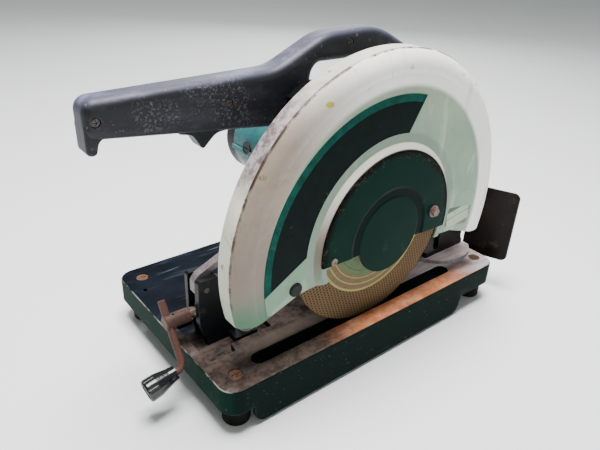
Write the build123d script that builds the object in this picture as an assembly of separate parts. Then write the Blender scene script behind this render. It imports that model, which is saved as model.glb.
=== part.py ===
"""Abrasive chop saw: base, quick-action vice, swinging saw head, wheel guard, motor and handle.

Frame: +X from the handle towards the hinge, +Y from the guard's label side towards the motor, +Z up.
The origin is the centre of the bounding box at floor level. All lengths are in millimetres.
"""
import math
import os

from build123d import *

# ---------------------------------------------------------------- driving dimensions
OVERALL_LENGTH = 569.0
BASE_LENGTH = 462.0
BASE_WIDTH = 280.0
BASE_TOP = 62.0
BASE_REAR_GAP = 28.0
FEET_INSET = 25.5

WHEEL_RADIUS = 122.0
WHEEL_THICKNESS = 3.0
WHEEL_BORE = 12.7
GUARD_RADIUS = 206.0
GUARD_FACE_RADIUS = 182.0
COVER_RADIUS = 100.8
HINGE_HEIGHT_OVER_TOP = 75.0
HINGE_BEHIND_WHEEL = 194.0
GEAR_MODULE = 2.0
GEAR_TEETH = 58
PINION_TEETH = 10
MOTOR_LEAN = 21.0
SCREW_RADIUS = 7.0
CRANK_ANGLE = 35.0
SHEET = 2.0
RUNNING = 0.05
GAP = 0.4

# ---------------------------------------------------------------- places worked out from them
FRONT = -OVERALL_LENGTH / 2
REAR = OVERALL_LENGTH / 2
BASE_REAR = REAR - BASE_REAR_GAP
BASE_FRONT = BASE_REAR - BASE_LENGTH
NEAR = -BASE_WIDTH / 2
FAR = BASE_WIDTH / 2
SKIRT_BOTTOM = BASE_TOP - 32
APRON_BOTTOM = 4.0
LAND_TOP = BASE_TOP + 5
POCKET_FLOOR = BASE_TOP - 8

WHEEL_X = BASE_FRONT + 223.8
WHEEL_Z = BASE_TOP + 115.6
WHEEL_Y = NEAR + 31.7
SLOT_FRONT = BASE_FRONT + 51
SLOT_REAR = BASE_FRONT + 385
SLOT_RADIUS = 9.2

GUARD_FACE = NEAR + 12.7
GUARD_SEAM = NEAR + 22.5
GUARD_BACK = NEAR + 46.5
COVER_FACE = NEAR + 5.8
BOSS_FACE = COVER_FACE + 3.0

PINION_RADIUS = GEAR_MODULE * PINION_TEETH / 2
GEAR_RADIUS = GEAR_MODULE * GEAR_TEETH / 2
CENTRE_DISTANCE = PINION_RADIUS + GEAR_RADIUS
MOTOR_X = WHEEL_X - CENTRE_DISTANCE * math.sin(math.radians(MOTOR_LEAN))
MOTOR_Z = WHEEL_Z + CENTRE_DISTANCE * math.cos(math.radians(MOTOR_LEAN))
MOTOR_RADIUS = 50.0
CASE_FRONT = GUARD_BACK + GAP
CASE_SPLIT = CASE_FRONT + 8
CASE_BACK = CASE_SPLIT + 31
MOTOR_END = CASE_BACK + 131
CAP_END = MOTOR_END + 23
GEAR_FRONT = CASE_SPLIT + 3
GEAR_WIDTH = 14.0

HINGE_X = WHEEL_X + HINGE_BEHIND_WHEEL
HINGE_Z = BASE_TOP + HINGE_HEIGHT_OVER_TOP
HINGE_NEAR = NEAR + 60
HINGE_FAR = NEAR + 148
CHEEK = 9.0
PIN_RADIUS = 8.0
BARREL_RADIUS = 18.0

SCREW_Y = NEAR + 107
SCREW_Z = BASE_TOP + 33
VICE_FRONT = BASE_FRONT + 21
VICE_TOP = BASE_TOP + 81
LEVER_X = BASE_FRONT + 31.5
LEVER_Z = BASE_TOP + 68
JAW_FRONT = BASE_FRONT + 222
FENCE_X = BASE_FRONT + 262
JAW_HEIGHT = 43.0
CRANK_X = BASE_FRONT - 9

HANDLE_Y = NEAR + 91
HANDLE_HALF = 16.0
HANDLE_WALL = 3.0
LIP_HALF = 12.5


# ---------------------------------------------------------------- helpers
def block(x, y, z):
    """Box between the pairs of limits x, y and z."""
    size = [high - low for low, high in (x, y, z)]
    middle = [(high + low) / 2 for low, high in (x, y, z)]
    return Pos(*middle) * Box(*size)


def along_y(outline, low, high):
    """Prism of an X-Z outline between two Y values."""
    return extrude(Plane.XZ.offset(-high) * outline, high - low)


def along_x(outline, low, high):
    """Prism of a Y-Z outline between two X values."""
    return extrude(Plane.YZ.offset(low) * outline, high - low)


def along_z(outline, low, high):
    """Prism of an X-Y outline between two Z values."""
    return extrude(Plane.XY.offset(low) * outline, high - low)


def rod_y(x, z, radius, low, high):
    return Pos(x, (low + high) / 2, z) * Rot(90, 0, 0) * Cylinder(radius, high - low)


def rod_x(y, z, radius, low, high):
    return Pos((low + high) / 2, y, z) * Rot(0, 90, 0) * Cylinder(radius, high - low)


def rod_z(x, y, radius, low, high):
    return Pos(x, y, (low + high) / 2) * Cylinder(radius, high - low)


def ring_y(x, z, outer, inner, low, high):
    return rod_y(x, z, outer, low, high) - rod_y(x, z, inner, low - 1, high + 1)


def disc(x, z, radius):
    return Pos(x, z) * Circle(radius)


def facing_up(face):
    """The same flat face with its normal along +Z, so that it is pushed the right way."""
    return face if face.faces()[0].normal_at().Z > 0 else Sketch([-each for each in face.faces()])


def outline(*points):
    """Flat face through corner points, listed either way round."""
    return facing_up(Polygon(*points, align=None))


def soft_outline(*corners):
    """Flat face through (x, y, corner radius) corners."""
    points = [(x, y) for x, y, radius in corners]
    radii = [radius for x, y, radius in corners]
    return facing_up(make_face(FilletPolyline(*points, radius=radii, close=True)))


def hull_of_circles(circles):
    """Outline round two circles of (x, z, radius): the circles and the band that touches both."""
    (x1, z1, r1), (x2, z2, r2) = circles
    distance = math.hypot(x2 - x1, z2 - z1)
    heading = math.atan2(z2 - z1, x2 - x1)
    spread = math.acos((r1 - r2) / distance)
    corners = []
    for x, z, r, side in ((x1, z1, r1, 1), (x2, z2, r2, 1), (x2, z2, r2, -1), (x1, z1, r1, -1)):
        angle = heading + side * spread
        corners.append((x + r * math.cos(angle), z + r * math.sin(angle)))
    return disc(x1, z1, r1) + disc(x2, z2, r2) + outline(*corners)


def turned(profile, x, z):
    """Solid of revolution about the Y axis through (x, z), from a profile of (radius, y)."""
    face = make_face(profile)
    return Pos(x, 0, z) * revolve(face, Axis.Y, 360)


def turned_corners(points, x, z):
    return turned(Polyline(*[(r, y) for r, y in points], close=True), x, z)


def hex_y(x, z, across_flats, low, high):
    return along_y(Pos(x, z) * RegularPolygon(across_flats / 2, 6, major_radius=False), low, high)


def bolt_down(x, y, seat, head_flats, head_height, shank, length):
    """Hexagon bolt with its head above a seat, shank pointing down."""
    head = along_z(Pos(x, y) * RegularPolygon(head_flats / 2, 6, major_radius=False), seat, seat + head_height)
    return head + rod_z(x, y, shank, seat - length, seat)


def screw_near(x, z, seat, head, shank, length):
    """Pan-head screw driven along +Y, with its head on the near side of a seat."""
    dome = rod_y(x, z, head, seat - 2.2, seat)
    dome = chamfer(dome.edges().sort_by(Axis.Y)[0], 0.9)
    cross = block((x - head * 0.6, x + head * 0.6), (seat - 3, seat - 1.2), (z - 0.6, z + 0.6))
    cross += block((x - 0.6, x + 0.6), (seat - 3, seat - 1.2), (z - head * 0.6, z + head * 0.6))
    return dome - cross + rod_y(x, z, shank, seat, seat + length)


def group(solids):
    return Compound(children=list(solids))


def feet_places():
    for x in (BASE_FRONT + FEET_INSET, BASE_REAR - FEET_INSET + 7):
        for y in (NEAR + FEET_INSET, FAR - FEET_INSET):
            yield x, y


def around(count, radius, start=0.0):
    """Points (x, z) evenly spaced on a circle."""
    for index in range(count):
        angle = math.radians(start + 360 * index / count)
        yield radius * math.cos(angle), radius * math.sin(angle)


# ---------------------------------------------------------------- base
VICE_BOLTS = [(BASE_FRONT + 78, SCREW_Y - 22), (BASE_FRONT + 78, SCREW_Y + 22)]
FENCE_BOLTS = [(FENCE_X + 24, NEAR + 78), (FENCE_X + 24, NEAR + 166)]
HINGE_BOLTS = [(HINGE_X - 34, HINGE_NEAR + 26), (HINGE_X - 34, HINGE_FAR - 26)]
STOP_X = HINGE_X - 68
STOP_Y = (HINGE_NEAR + HINGE_FAR) / 2


def base_outline(inset):
    middle = (BASE_FRONT + BASE_REAR) / 2
    return Pos(middle, 0) * RectangleRounded(BASE_LENGTH - 2 * inset, BASE_WIDTH - 2 * inset, 20 - inset)


def slot_outline(extra):
    length = SLOT_REAR - SLOT_FRONT + 2 * extra
    place = Pos((SLOT_FRONT + SLOT_REAR) / 2, WHEEL_Y)
    return place * SlotOverall(length, 2 * (SLOT_RADIUS + extra))


def pocket_outline():
    front, near = BASE_FRONT + 12, NEAR + 57
    return outline(
        (front, near), (front + 34, near), (front + 36, near + 13), (front + 93, near + 13),
        (front + 93, near + 80), (front, near + 80))


def land_outline():
    centre_x, centre_y = BASE_REAR - 42, NEAR + 88
    arc = Pos(centre_x, centre_y) * Circle(56) + Pos(centre_x, centre_y + 20) * Circle(56)
    return arc & base_outline(0.0)


def apron_outline():
    front, rear = BASE_FRONT + 34, BASE_REAR - 70
    face = outline((front, BASE_TOP - 10), (front, APRON_BOTTOM), (rear - 8, APRON_BOTTOM), (rear, BASE_TOP - 10))
    corners = face.vertices().sort_by(Axis.Y)[:2]
    return fillet(corners, 16)


def base_casting():
    wall = 5.0
    body = along_z(base_outline(0), SKIRT_BOTTOM, BASE_TOP)
    top_edges = body.edges().filter_by(Plane.XY).group_by(Axis.Z)[-1]
    body = fillet(top_edges, 2.5)
    body -= along_z(base_outline(wall), SKIRT_BOTTOM - 1, BASE_TOP - 6)
    body += along_z(slot_outline(5), BASE_TOP - 20, BASE_TOP - 3)
    body += along_z(offset(pocket_outline(), 5), POCKET_FLOOR - 6, BASE_TOP - 3)
    body += along_z(land_outline(), BASE_TOP - 1, LAND_TOP)
    for low, high in ((NEAR, NEAR + wall), (FAR - wall, FAR)):
        body += along_y(apron_outline(), low, high)
    for y in (NEAR + 56, FAR - 60):
        body += block((BASE_FRONT + 6, BASE_REAR - 6), (y - 2.5, y + 2.5), (SKIRT_BOTTOM + 2, BASE_TOP - 4))
    for x in (BASE_FRONT + 130, BASE_FRONT + 240, BASE_FRONT + 350):
        body += block((x - 2.5, x + 2.5), (NEAR + 54, FAR - 4), (SKIRT_BOTTOM + 2, BASE_TOP - 4))
    for x, y in feet_places():
        body += rod_z(x, y, 16, 17, BASE_TOP - 3)
        body -= rod_z(x, y, 8.2, BASE_TOP - 3.2, BASE_TOP + 1)
        body -= rod_z(x, y, 3.4, 10, BASE_TOP)
    body -= along_z(slot_outline(0), 0, BASE_TOP + 1)
    body -= along_z(pocket_outline(), POCKET_FLOOR, BASE_TOP + 1)
    body -= rod_z(BASE_FRONT + 15.5, FAR - 56, 3, 0, BASE_TOP + 1)
    for x, y in VICE_BOLTS + FENCE_BOLTS + HINGE_BOLTS:
        body -= rod_z(x, y, 4.3, 0, LAND_TOP + 1)
    body -= rod_z(STOP_X, STOP_Y, 5.3, 0, LAND_TOP + 1)
    for z in (BASE_TOP - 12, BASE_TOP - 26):
        body -= rod_x(NEAR + 84, z, 2.8, BASE_REAR - 20, BASE_REAR + 1)
    return body


def rubber_feet():
    feet = []
    for x, y in feet_places():
        foot = rod_z(x, y, 16, 0, 17)
        foot = fillet(foot.edges().sort_by(Axis.Z)[0], 3)
        feet.append(foot - rod_z(x, y, 3.4, 7, 18) - rod_z(x, y, 7, -1, 7))
    return group(feet)


def foot_screws():
    screws = []
    for x, y in feet_places():
        head = rod_z(x, y, 7.6, BASE_TOP - 3.2, BASE_TOP - 0.6)
        head -= block((x - 5, x + 5), (y - 0.8, y + 0.8), (BASE_TOP - 1.8, BASE_TOP))
        head -= block((x - 0.8, x + 0.8), (y - 5, y + 5), (BASE_TOP - 1.8, BASE_TOP))
        nut = rod_z(x, y, 6.2, 2.5, 6.9)
        screws.append(head + rod_z(x, y, 3.1, 2.5, BASE_TOP - 3) + nut)
    return group(screws)


def fence():
    low, high = NEAR + 52, NEAR + 192
    face = block((FENCE_X, FENCE_X + 8), (low, high), (BASE_TOP, BASE_TOP + 45))
    foot = block((FENCE_X, FENCE_X + 42), (low, high), (BASE_TOP, BASE_TOP + 8))
    plate = face + foot
    for y in (low + 4, (low + high) / 2, high - 4):
        rib = outline((FENCE_X + 7, BASE_TOP + 7), (FENCE_X + 34, BASE_TOP + 7), (FENCE_X + 7, BASE_TOP + 38))
        plate += along_y(rib, y - 3, y + 3)
    for x, y in FENCE_BOLTS:
        plate -= along_z(Pos(x, y) * SlotOverall(22, 9.2, rotation=90), BASE_TOP - 1, BASE_TOP + 9)
    return plate


def bolts_with_washers(places, seat, length):
    bolts = []
    for x, y in places:
        washer = rod_z(x, y, 9, seat, seat + 1.6)
        bolts.append(washer + bolt_down(x, y, seat + 1.6, 13, 5.5, 4, length))
    return group(bolts)


def base_bolts():
    """Bolts that hold the fence and the hinge bracket down."""
    fence_set = bolts_with_washers(FENCE_BOLTS, BASE_TOP + 8, 24)
    hinge_set = bolts_with_washers(HINGE_BOLTS, LAND_TOP + 8, 26)
    return group([fence_set, hinge_set])


# ---------------------------------------------------------------- vice
def vice_cheek(low, high):
    """One upright of the vice bracket, with its lower front corner cut back."""
    front, rear = VICE_FRONT, BASE_FRONT + 62
    side = soft_outline(
        (front, VICE_TOP, 3), (front, BASE_TOP + 24, 10), (front + 9, BASE_TOP - 2, 4), (front + 9, POCKET_FLOOR, 0.5),
        (rear, POCKET_FLOOR, 0.5), (rear, VICE_TOP - 28, 8), (rear - 14, VICE_TOP, 6))
    return along_y(side, low, high)


def vice_bracket():
    near, far = NEAR + 90.6, NEAR + 121
    inner_near, inner_far = NEAR + 98.8, NEAR + 114.8
    body = vice_cheek(near, inner_near) + vice_cheek(inner_far, far)
    bridge = block((BASE_FRONT + 54.5, BASE_FRONT + 68), (near, far), (POCKET_FLOOR, BASE_TOP + 50))
    foot = block((BASE_FRONT + 58, BASE_FRONT + 88), (near - 16, far + 16), (POCKET_FLOOR, POCKET_FLOOR + 8))
    body += bridge + foot
    body -= rod_x(SCREW_Y, SCREW_Z, SCREW_RADIUS + RUNNING, BASE_FRONT, BASE_FRONT + 100)
    body -= rod_y(LEVER_X, LEVER_Z, 3.0, near - 1, far + 1)
    for x, y in VICE_BOLTS:
        body -= rod_z(x, y, 4.3, 0, BASE_TOP + 20)
    return body


def vice_bracket_bolts():
    return bolts_with_washers(VICE_BOLTS, POCKET_FLOOR + 8, 18)


def lever_pin():
    return rod_y(LEVER_X, LEVER_Z, 2.95, NEAR + 90.2, NEAR + 121.4)


def half_nut_lever():
    """Bent bar: half nut on the screw at its foot, a pivot above it and a long tail to the rear."""
    front = VICE_FRONT + 1.5
    bar = soft_outline(
        (front + 4, SCREW_Z + 4, 1), (front + 7, SCREW_Z + 18, 4), (front, SCREW_Z + 28, 4), (front, LEVER_Z + 7, 5),
        (front + 5, LEVER_Z + 14.5, 8), (front + 64, LEVER_Z + 39.5, 3), (front + 67, LEVER_Z + 32.5, 3),
        (front + 19, LEVER_Z + 12.5, 6), (front + 19, SCREW_Z + 20, 3), (front + 21, SCREW_Z + 4, 1))
    body = along_y(bar, NEAR + 102, NEAR + 112)
    body -= rod_x(SCREW_Y, SCREW_Z, SCREW_RADIUS + 0.4, BASE_FRONT, BASE_FRONT + 100)
    return body - rod_y(LEVER_X, LEVER_Z, 3.0, NEAR + 99, NEAR + 115)


def crank_point(along, x=CRANK_X):
    """Point on the crank rod's axis, a distance above (+) or below (-) the screw axis."""
    angle = math.radians(CRANK_ANGLE)
    return (x, SCREW_Y + along * math.sin(angle), SCREW_Z + along * math.cos(angle))


CRANK_DROP = 46.0
CRANK_RISE = 25.0
KNOB_DIP = 14.0


def knob_direction():
    dip = math.radians(KNOB_DIP)
    return Vector(-math.cos(dip), 0, -math.sin(dip))


def crank_elbow():
    return Vector(*crank_point(-CRANK_DROP - 6))


def vice_screw():
    screw = rod_x(SCREW_Y, SCREW_Z, SCREW_RADIUS, BASE_FRONT + 18, JAW_FRONT + 8)
    neck = rod_x(SCREW_Y, SCREW_Z, 4.5, BASE_FRONT + 4, BASE_FRONT + 19)
    groove = rod_x(SCREW_Y, SCREW_Z, 8, JAW_FRONT - 2, JAW_FRONT + 1)
    groove -= rod_x(SCREW_Y, SCREW_Z, 5, JAW_FRONT - 3, JAW_FRONT + 2)
    return screw + neck - groove


def crank_hub():
    hub = rod_x(SCREW_Y, SCREW_Z, 8.2, BASE_FRONT - 14, BASE_FRONT + 16.5)
    hub = chamfer(hub.edges().filter_by(GeomType.CIRCLE), 1)
    hub -= rod_x(SCREW_Y, SCREW_Z, 4.55, BASE_FRONT + 3, BASE_FRONT + 18)
    hub -= rod_z(BASE_FRONT - 3, SCREW_Y, 1.6, SCREW_Z - 12, SCREW_Z + 12)
    start, end = Vector(*crank_point(-16)), Vector(*crank_point(16))
    bore = Plane(start, z_dir=end - start)
    return hub - extrude(bore * Circle(4.35), 32)


def crank_rod():
    top = Vector(*crank_point(CRANK_RISE))
    elbow = crank_elbow()
    tip = elbow + knob_direction() * 46
    path = FilletPolyline(top, elbow, tip, radius=11)
    section = Plane(top, z_dir=elbow - top) * Circle(4.3)
    return sweep(section, path=path)


def crank_knob():
    """Tapered grip, open at its wide end, that turns on the end of the crank rod."""
    start = crank_elbow() + knob_direction() * 10
    frame = Plane(start, z_dir=knob_direction())
    profile = make_face(Polyline(
        (4.35, 0), (8.0, 0), (9.2, 8), (12.8, 23), (13.2, 34), (12.0, 36.5), (10.4, 36.5), (10.4, 26), (4.35, 22),
        close=True))
    knob = revolve(Plane.XZ * profile, Axis.Z, 360)
    for x, y in around(8, 14.6):
        knob -= Pos(x, y, 31) * Cylinder(2.0, 16)
    return frame * knob


def vice_jaw():
    low, high = NEAR + 62, NEAR + 152
    base = BASE_TOP + 0.5
    body = block((JAW_FRONT + 14, JAW_FRONT + 24), (low, high), (base, base + JAW_HEIGHT))
    body += block((JAW_FRONT - 6, JAW_FRONT + 16), (SCREW_Y - 14, SCREW_Y + 14), (base, base + JAW_HEIGHT))
    body += block((JAW_FRONT - 6, JAW_FRONT + 16), (low + 12, high - 12), (base, base + 10))
    for z in (base + 14, base + 26, base + 38):
        body -= block((JAW_FRONT + 23, JAW_FRONT + 25), (low - 1, high + 1), (z - 1, z + 1))
    body -= rod_x(SCREW_Y, SCREW_Z, SCREW_RADIUS + RUNNING, JAW_FRONT - 8, JAW_FRONT + 10)
    return body


# ---------------------------------------------------------------- hinge
def cheek_outline():
    foot_front, foot_rear = HINGE_X - 18, HINGE_X + 38
    face = outline(
        (foot_front, LAND_TOP), (HINGE_X - 20, HINGE_Z), (HINGE_X + 20, HINGE_Z), (foot_rear, LAND_TOP))
    return face + disc(HINGE_X, HINGE_Z, 20)


def hinge_bracket():
    body = along_y(cheek_outline(), HINGE_NEAR, HINGE_NEAR + CHEEK)
    body += along_y(cheek_outline(), HINGE_FAR - CHEEK, HINGE_FAR)
    body += block((HINGE_X - 44, HINGE_X + 38), (HINGE_NEAR, HINGE_FAR), (LAND_TOP, LAND_TOP + 8))
    body += block((HINGE_X + 26, HINGE_X + 34), (HINGE_NEAR, HINGE_FAR), (LAND_TOP, LAND_TOP + 26))
    body -= rod_y(HINGE_X, HINGE_Z, PIN_RADIUS + 0.02, HINGE_NEAR - 1, HINGE_FAR + 1)
    body -= rod_y(HINGE_X - 8, HINGE_Z - 34, 4.05, HINGE_FAR - CHEEK - 1, HINGE_FAR + 1)
    for x, y in HINGE_BOLTS:
        body -= rod_z(x, y, 4.3, 0, LAND_TOP + 10)
    return body


def hinge_pin():
    pin = rod_y(HINGE_X, HINGE_Z, PIN_RADIUS, HINGE_NEAR - 4, HINGE_FAR + 6)
    head = rod_y(HINGE_X, HINGE_Z, 11, HINGE_NEAR - 4.5, HINGE_NEAR - 0.5)
    clip = ring_y(HINGE_X, HINGE_Z, 10.5, 7, HINGE_FAR + 2, HINGE_FAR + 3.4)
    return pin + head + clip


SPRING_RADIUS = 14.0
SPRING_WIRE = 1.9
SPRING_NEAR = HINGE_NEAR + CHEEK + 46


def return_spring():
    """Torsion spring round the hinge pin, beside the arm's barrel."""
    turns, pitch = 4, 2 * SPRING_WIRE + 0.5
    coil = Helix(pitch=pitch, height=turns * pitch, radius=SPRING_RADIUS)
    section = Plane(coil @ 0, z_dir=coil % 0) * Circle(SPRING_WIRE)
    wire = sweep(section, path=coil, is_frenet=True)
    return Pos(HINGE_X, SPRING_NEAR, HINGE_Z) * Rot(-90, 0, 0) * wire


def lock_pin():
    """Pull pin in the far cheek that holds the head down, with a ring on its end."""
    x, z = HINGE_X - 8, HINGE_Z - 34
    pin = rod_y(x, z, 4.0, HINGE_FAR - CHEEK + 0.5, HINGE_FAR + 22)
    collar = rod_y(x, z, 6.5, HINGE_FAR + 3, HINGE_FAR + 7)
    ring = Pos(x, HINGE_FAR + 22, z - 11) * Rot(0, 90, 0) * Torus(11, 1.6)
    return pin + collar + ring


def stop_bolt():
    """Adjustable bolt that the arm rests on, with its lock nut on the base."""
    bolt = rod_z(STOP_X, STOP_Y, 5, BASE_TOP - 22, ARM_STOP_Z - 7)
    head = along_z(Pos(STOP_X, STOP_Y) * RegularPolygon(8.5, 6, major_radius=False), ARM_STOP_Z - 7.5, ARM_STOP_Z - 0.5)
    nut = along_z(Pos(STOP_X, STOP_Y) * RegularPolygon(8.5, 6, major_radius=False), BASE_TOP + 0.2, BASE_TOP + 8)
    return bolt + head + nut


def spark_plate():
    """Upright plate behind the wheel, bent out of a tab that is screwed to the rear of the base."""
    bend = Vector(BASE_REAR + 2, NEAR + 62)
    tip = Vector(REAR, NEAR)
    heading = (tip - bend).normalized()
    across = Vector(-heading.Y, heading.X) * SHEET
    length = (tip - bend).length
    frame = Plane((bend.X, bend.Y, BASE_TOP), x_dir=(heading.X, heading.Y, 0), z_dir=(across.X, across.Y, 0))
    sign = 1 if frame.y_dir.Z > 0 else -1
    panel = Pos(length / 2, sign * 45) * RectangleRounded(length, 110, 9)
    plate = extrude(frame * panel, -SHEET)
    plate &= block((BASE_REAR, REAR), (NEAR, FAR), (0, BASE_TOP + 120))
    tab = block((BASE_REAR + 0.2, BASE_REAR + 2.2), (NEAR + 56, NEAR + 98), (BASE_TOP - 34, BASE_TOP - 5))
    plate += tab
    for z in (BASE_TOP - 12, BASE_TOP - 26):
        plate -= rod_x(NEAR + 84, z, 2.8, BASE_REAR - 1, BASE_REAR + 8)
    return plate


def spark_plate_bolts():
    bolts = []
    for z in (BASE_TOP - 12, BASE_TOP - 26):
        head = along_x(Pos(NEAR + 84, z) * RegularPolygon(5, 6, major_radius=False), BASE_REAR + 2.3, BASE_REAR + 6.3)
        bolts.append(head + rod_x(NEAR + 84, z, 2.6, BASE_REAR - 14, BASE_REAR + 2.3))
    return group(bolts)


# ---------------------------------------------------------------- gear case and arm
ARM_STOP_Z = HINGE_Z - 26
CASE_RADIUS = GEAR_RADIUS + 8
CASE_TOP_RADIUS = 54.0
LOWER_SCREW_ANGLES = (215, 260, 320)
UPPER_SCREW_ANGLES = (60, 135)


def case_outline(shrink):
    return hull_of_circles((
        (WHEEL_X, WHEEL_Z, CASE_RADIUS + 4 - shrink), (MOTOR_X, MOTOR_Z, CASE_TOP_RADIUS - shrink)))


def handle_web():
    """Plate that carries the handle, rising from the gear case beside the guard."""
    reach = disc(WHEEL_X, WHEEL_Z, GUARD_RADIUS - 12)
    web = soft_outline(
        (WHEEL_X - 108, BASE_TOP + 236, 14), (WHEEL_X - 50, BASE_TOP + 150, 14), (WHEEL_X + 60, BASE_TOP + 110, 14),
        (WHEEL_X + 130, BASE_TOP + 150, 20), (WHEEL_X + 118, BASE_TOP + 296, 4), (WHEEL_X + 88, BASE_TOP + 296, 4),
        (WHEEL_X + 66, BASE_TOP + 232, 20), (WHEEL_X - 60, BASE_TOP + 238, 16), (WHEEL_X - 76, BASE_TOP + 290, 4),
        (WHEEL_X - 108, BASE_TOP + 290, 4))
    return web & reach


def arm_casting():
    """Rear half of the gear case in one piece with the arm and its hinge barrel."""
    body = along_y(case_outline(0), CASE_SPLIT, CASE_BACK)
    body -= along_y(case_outline(5), CASE_SPLIT - 1, CASE_BACK - 6)
    body += along_y(handle_web(), CASE_SPLIT, CASE_SPLIT + 12) - along_y(case_outline(5), CASE_SPLIT - 1, CASE_BACK - 6)
    barrel_near = HINGE_NEAR + CHEEK + GAP
    barrel_far = SPRING_NEAR - SPRING_WIRE - 2
    side = outline(
        (WHEEL_X + 45, WHEEL_Z + 52), (HINGE_X + 4, HINGE_Z + 17), (HINGE_X - 4, HINGE_Z - 17),
        (STOP_X + 14, ARM_STOP_Z), (STOP_X - 14, ARM_STOP_Z), (WHEEL_X + 50, WHEEL_Z - 42))
    arm = along_y(side, CASE_SPLIT + 6, barrel_far - 4)
    arm -= along_y(disc(WHEEL_X, WHEEL_Z, CASE_RADIUS + 2), CASE_SPLIT, barrel_far)
    arm -= block((HINGE_X - 24, REAR), (CASE_SPLIT, barrel_near), (0, 400))
    body += arm
    body += rod_y(HINGE_X, HINGE_Z, BARREL_RADIUS, barrel_near, barrel_far)
    body -= rod_y(HINGE_X, HINGE_Z, PIN_RADIUS + RUNNING, HINGE_NEAR, HINGE_FAR)
    body += rod_y(WHEEL_X, WHEEL_Z, 14, CASE_BACK - 13.5, CASE_BACK - 5)
    body -= rod_y(WHEEL_X, WHEEL_Z, 8.1, CASE_BACK - 15, CASE_BACK - 4)
    body += rod_y(MOTOR_X, MOTOR_Z, 15, CASE_BACK - 12, CASE_BACK)
    body -= rod_y(MOTOR_X, MOTOR_Z, 11.1, CASE_BACK - 11, CASE_BACK + 1)
    body -= rod_y(MOTOR_X, MOTOR_Z, 6, CASE_SPLIT, CASE_BACK + 1)
    for x, z in handle_mounts():
        body += rod_y(x, z, 7, CASE_SPLIT + 11, HANDLE_Y - HANDLE_HALF - 0.05)
        body -= rod_y(x, z, 2.2, CASE_SPLIT, HANDLE_Y)
    for x, z in case_screw_places():
        body -= rod_y(x, z, 2.4, CASE_SPLIT - 1, CASE_SPLIT + 8)
    return body - spindle_lock_bore()


def spindle_lock_bore():
    return rod_y(LOCK_X, LOCK_Z, 5.05, CASE_BACK - 8, CASE_BACK + 1)


LOCK_X = WHEEL_X + 34
LOCK_Z = WHEEL_Z - 8


def handle_mounts():
    return [(WHEEL_X - 96, BASE_TOP + 258), (WHEEL_X + 103, BASE_TOP + 268)]


def gear_case_cover():
    body = along_y(case_outline(0), CASE_FRONT, CASE_SPLIT - 0.1)
    body -= along_y(case_outline(5), CASE_FRONT + 4, CASE_SPLIT)
    body += rod_y(WHEEL_X, WHEEL_Z, 26, CASE_FRONT, CASE_SPLIT - 0.1)
    body += rod_y(WHEEL_X, WHEEL_Z, 24, CASE_FRONT - 6, CASE_FRONT)
    body -= rod_y(WHEEL_X, WHEEL_Z, 20.05, CASE_FRONT - 2, CASE_SPLIT)
    body -= rod_y(WHEEL_X, WHEEL_Z, 11, CASE_FRONT - 10, CASE_SPLIT)
    for x, z in case_screw_places():
        body -= rod_y(x, z, 2.4, CASE_FRONT - 1, CASE_SPLIT)
        body -= rod_y(x, z, 3.9, CASE_FRONT - 1, CASE_FRONT + 2.3)
    for x, z in guard_bolt_places():
        body -= rod_y(x, z, 3.2, CASE_FRONT - 1, CASE_FRONT + 5)
    return body


def case_screw_places():
    rims = [(WHEEL_X, WHEEL_Z, CASE_RADIUS + 0.5, angle) for angle in LOWER_SCREW_ANGLES]
    rims += [(MOTOR_X, MOTOR_Z, CASE_TOP_RADIUS - 4.5, angle) for angle in UPPER_SCREW_ANGLES]
    return [(x + reach * math.cos(math.radians(angle)), z + reach * math.sin(math.radians(angle)))
            for x, z, reach, angle in rims]


def gear_case_screws():
    return group(screw_near(x, z, CASE_FRONT + 2.3, 3.6, 2.2, 11) for x, z in case_screw_places())


# ---------------------------------------------------------------- gears, spindle and wheel
def gear_outline(teeth, phase):
    """Spur gear outline with straight-flanked teeth; one tooth points along the phase angle."""
    pitch_radius = GEAR_MODULE * teeth / 2
    rings = ((pitch_radius - 1.15 * GEAR_MODULE, 0.27), (pitch_radius, 0.20), (pitch_radius + 0.85 * GEAR_MODULE, 0.11))
    step = 2 * math.pi / teeth
    points = []
    for tooth in range(teeth):
        middle = phase + tooth * step
        for side in (-1, 1):
            for radius, half in rings[::-side]:
                angle = middle + side * half * step
                points.append((radius * math.cos(angle), radius * math.sin(angle)))
    return outline(*points)


MESH_ANGLE = math.atan2(MOTOR_Z - WHEEL_Z, MOTOR_X - WHEEL_X)


def drive_gear():
    face = Pos(WHEEL_X, WHEEL_Z) * gear_outline(GEAR_TEETH, MESH_ANGLE)
    gear = along_y(face, GEAR_FRONT, GEAR_FRONT + GEAR_WIDTH)
    web = ring_y(WHEEL_X, WHEEL_Z, GEAR_RADIUS - 9, 18, GEAR_FRONT - 1, GEAR_FRONT + 4)
    web += ring_y(WHEEL_X, WHEEL_Z, GEAR_RADIUS - 9, 18, GEAR_FRONT + 10, GEAR_FRONT + 20)
    return gear - web - rod_y(WHEEL_X, WHEEL_Z, 8.5, GEAR_FRONT - 1, GEAR_FRONT + GEAR_WIDTH + 1)


def pinion():
    phase = MESH_ANGLE + math.pi + math.pi / PINION_TEETH
    face = Pos(MOTOR_X, MOTOR_Z) * gear_outline(PINION_TEETH, phase)
    gear = along_y(face, GEAR_FRONT - 1, GEAR_FRONT + GEAR_WIDTH)
    return gear - rod_y(MOTOR_X, MOTOR_Z, 5, GEAR_FRONT - 2, GEAR_FRONT + GEAR_WIDTH + 1)


FLANGE_FACE = WHEEL_Y + WHEEL_THICKNESS / 2
CLAMP_FACE = WHEEL_Y - WHEEL_THICKNESS / 2


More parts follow.
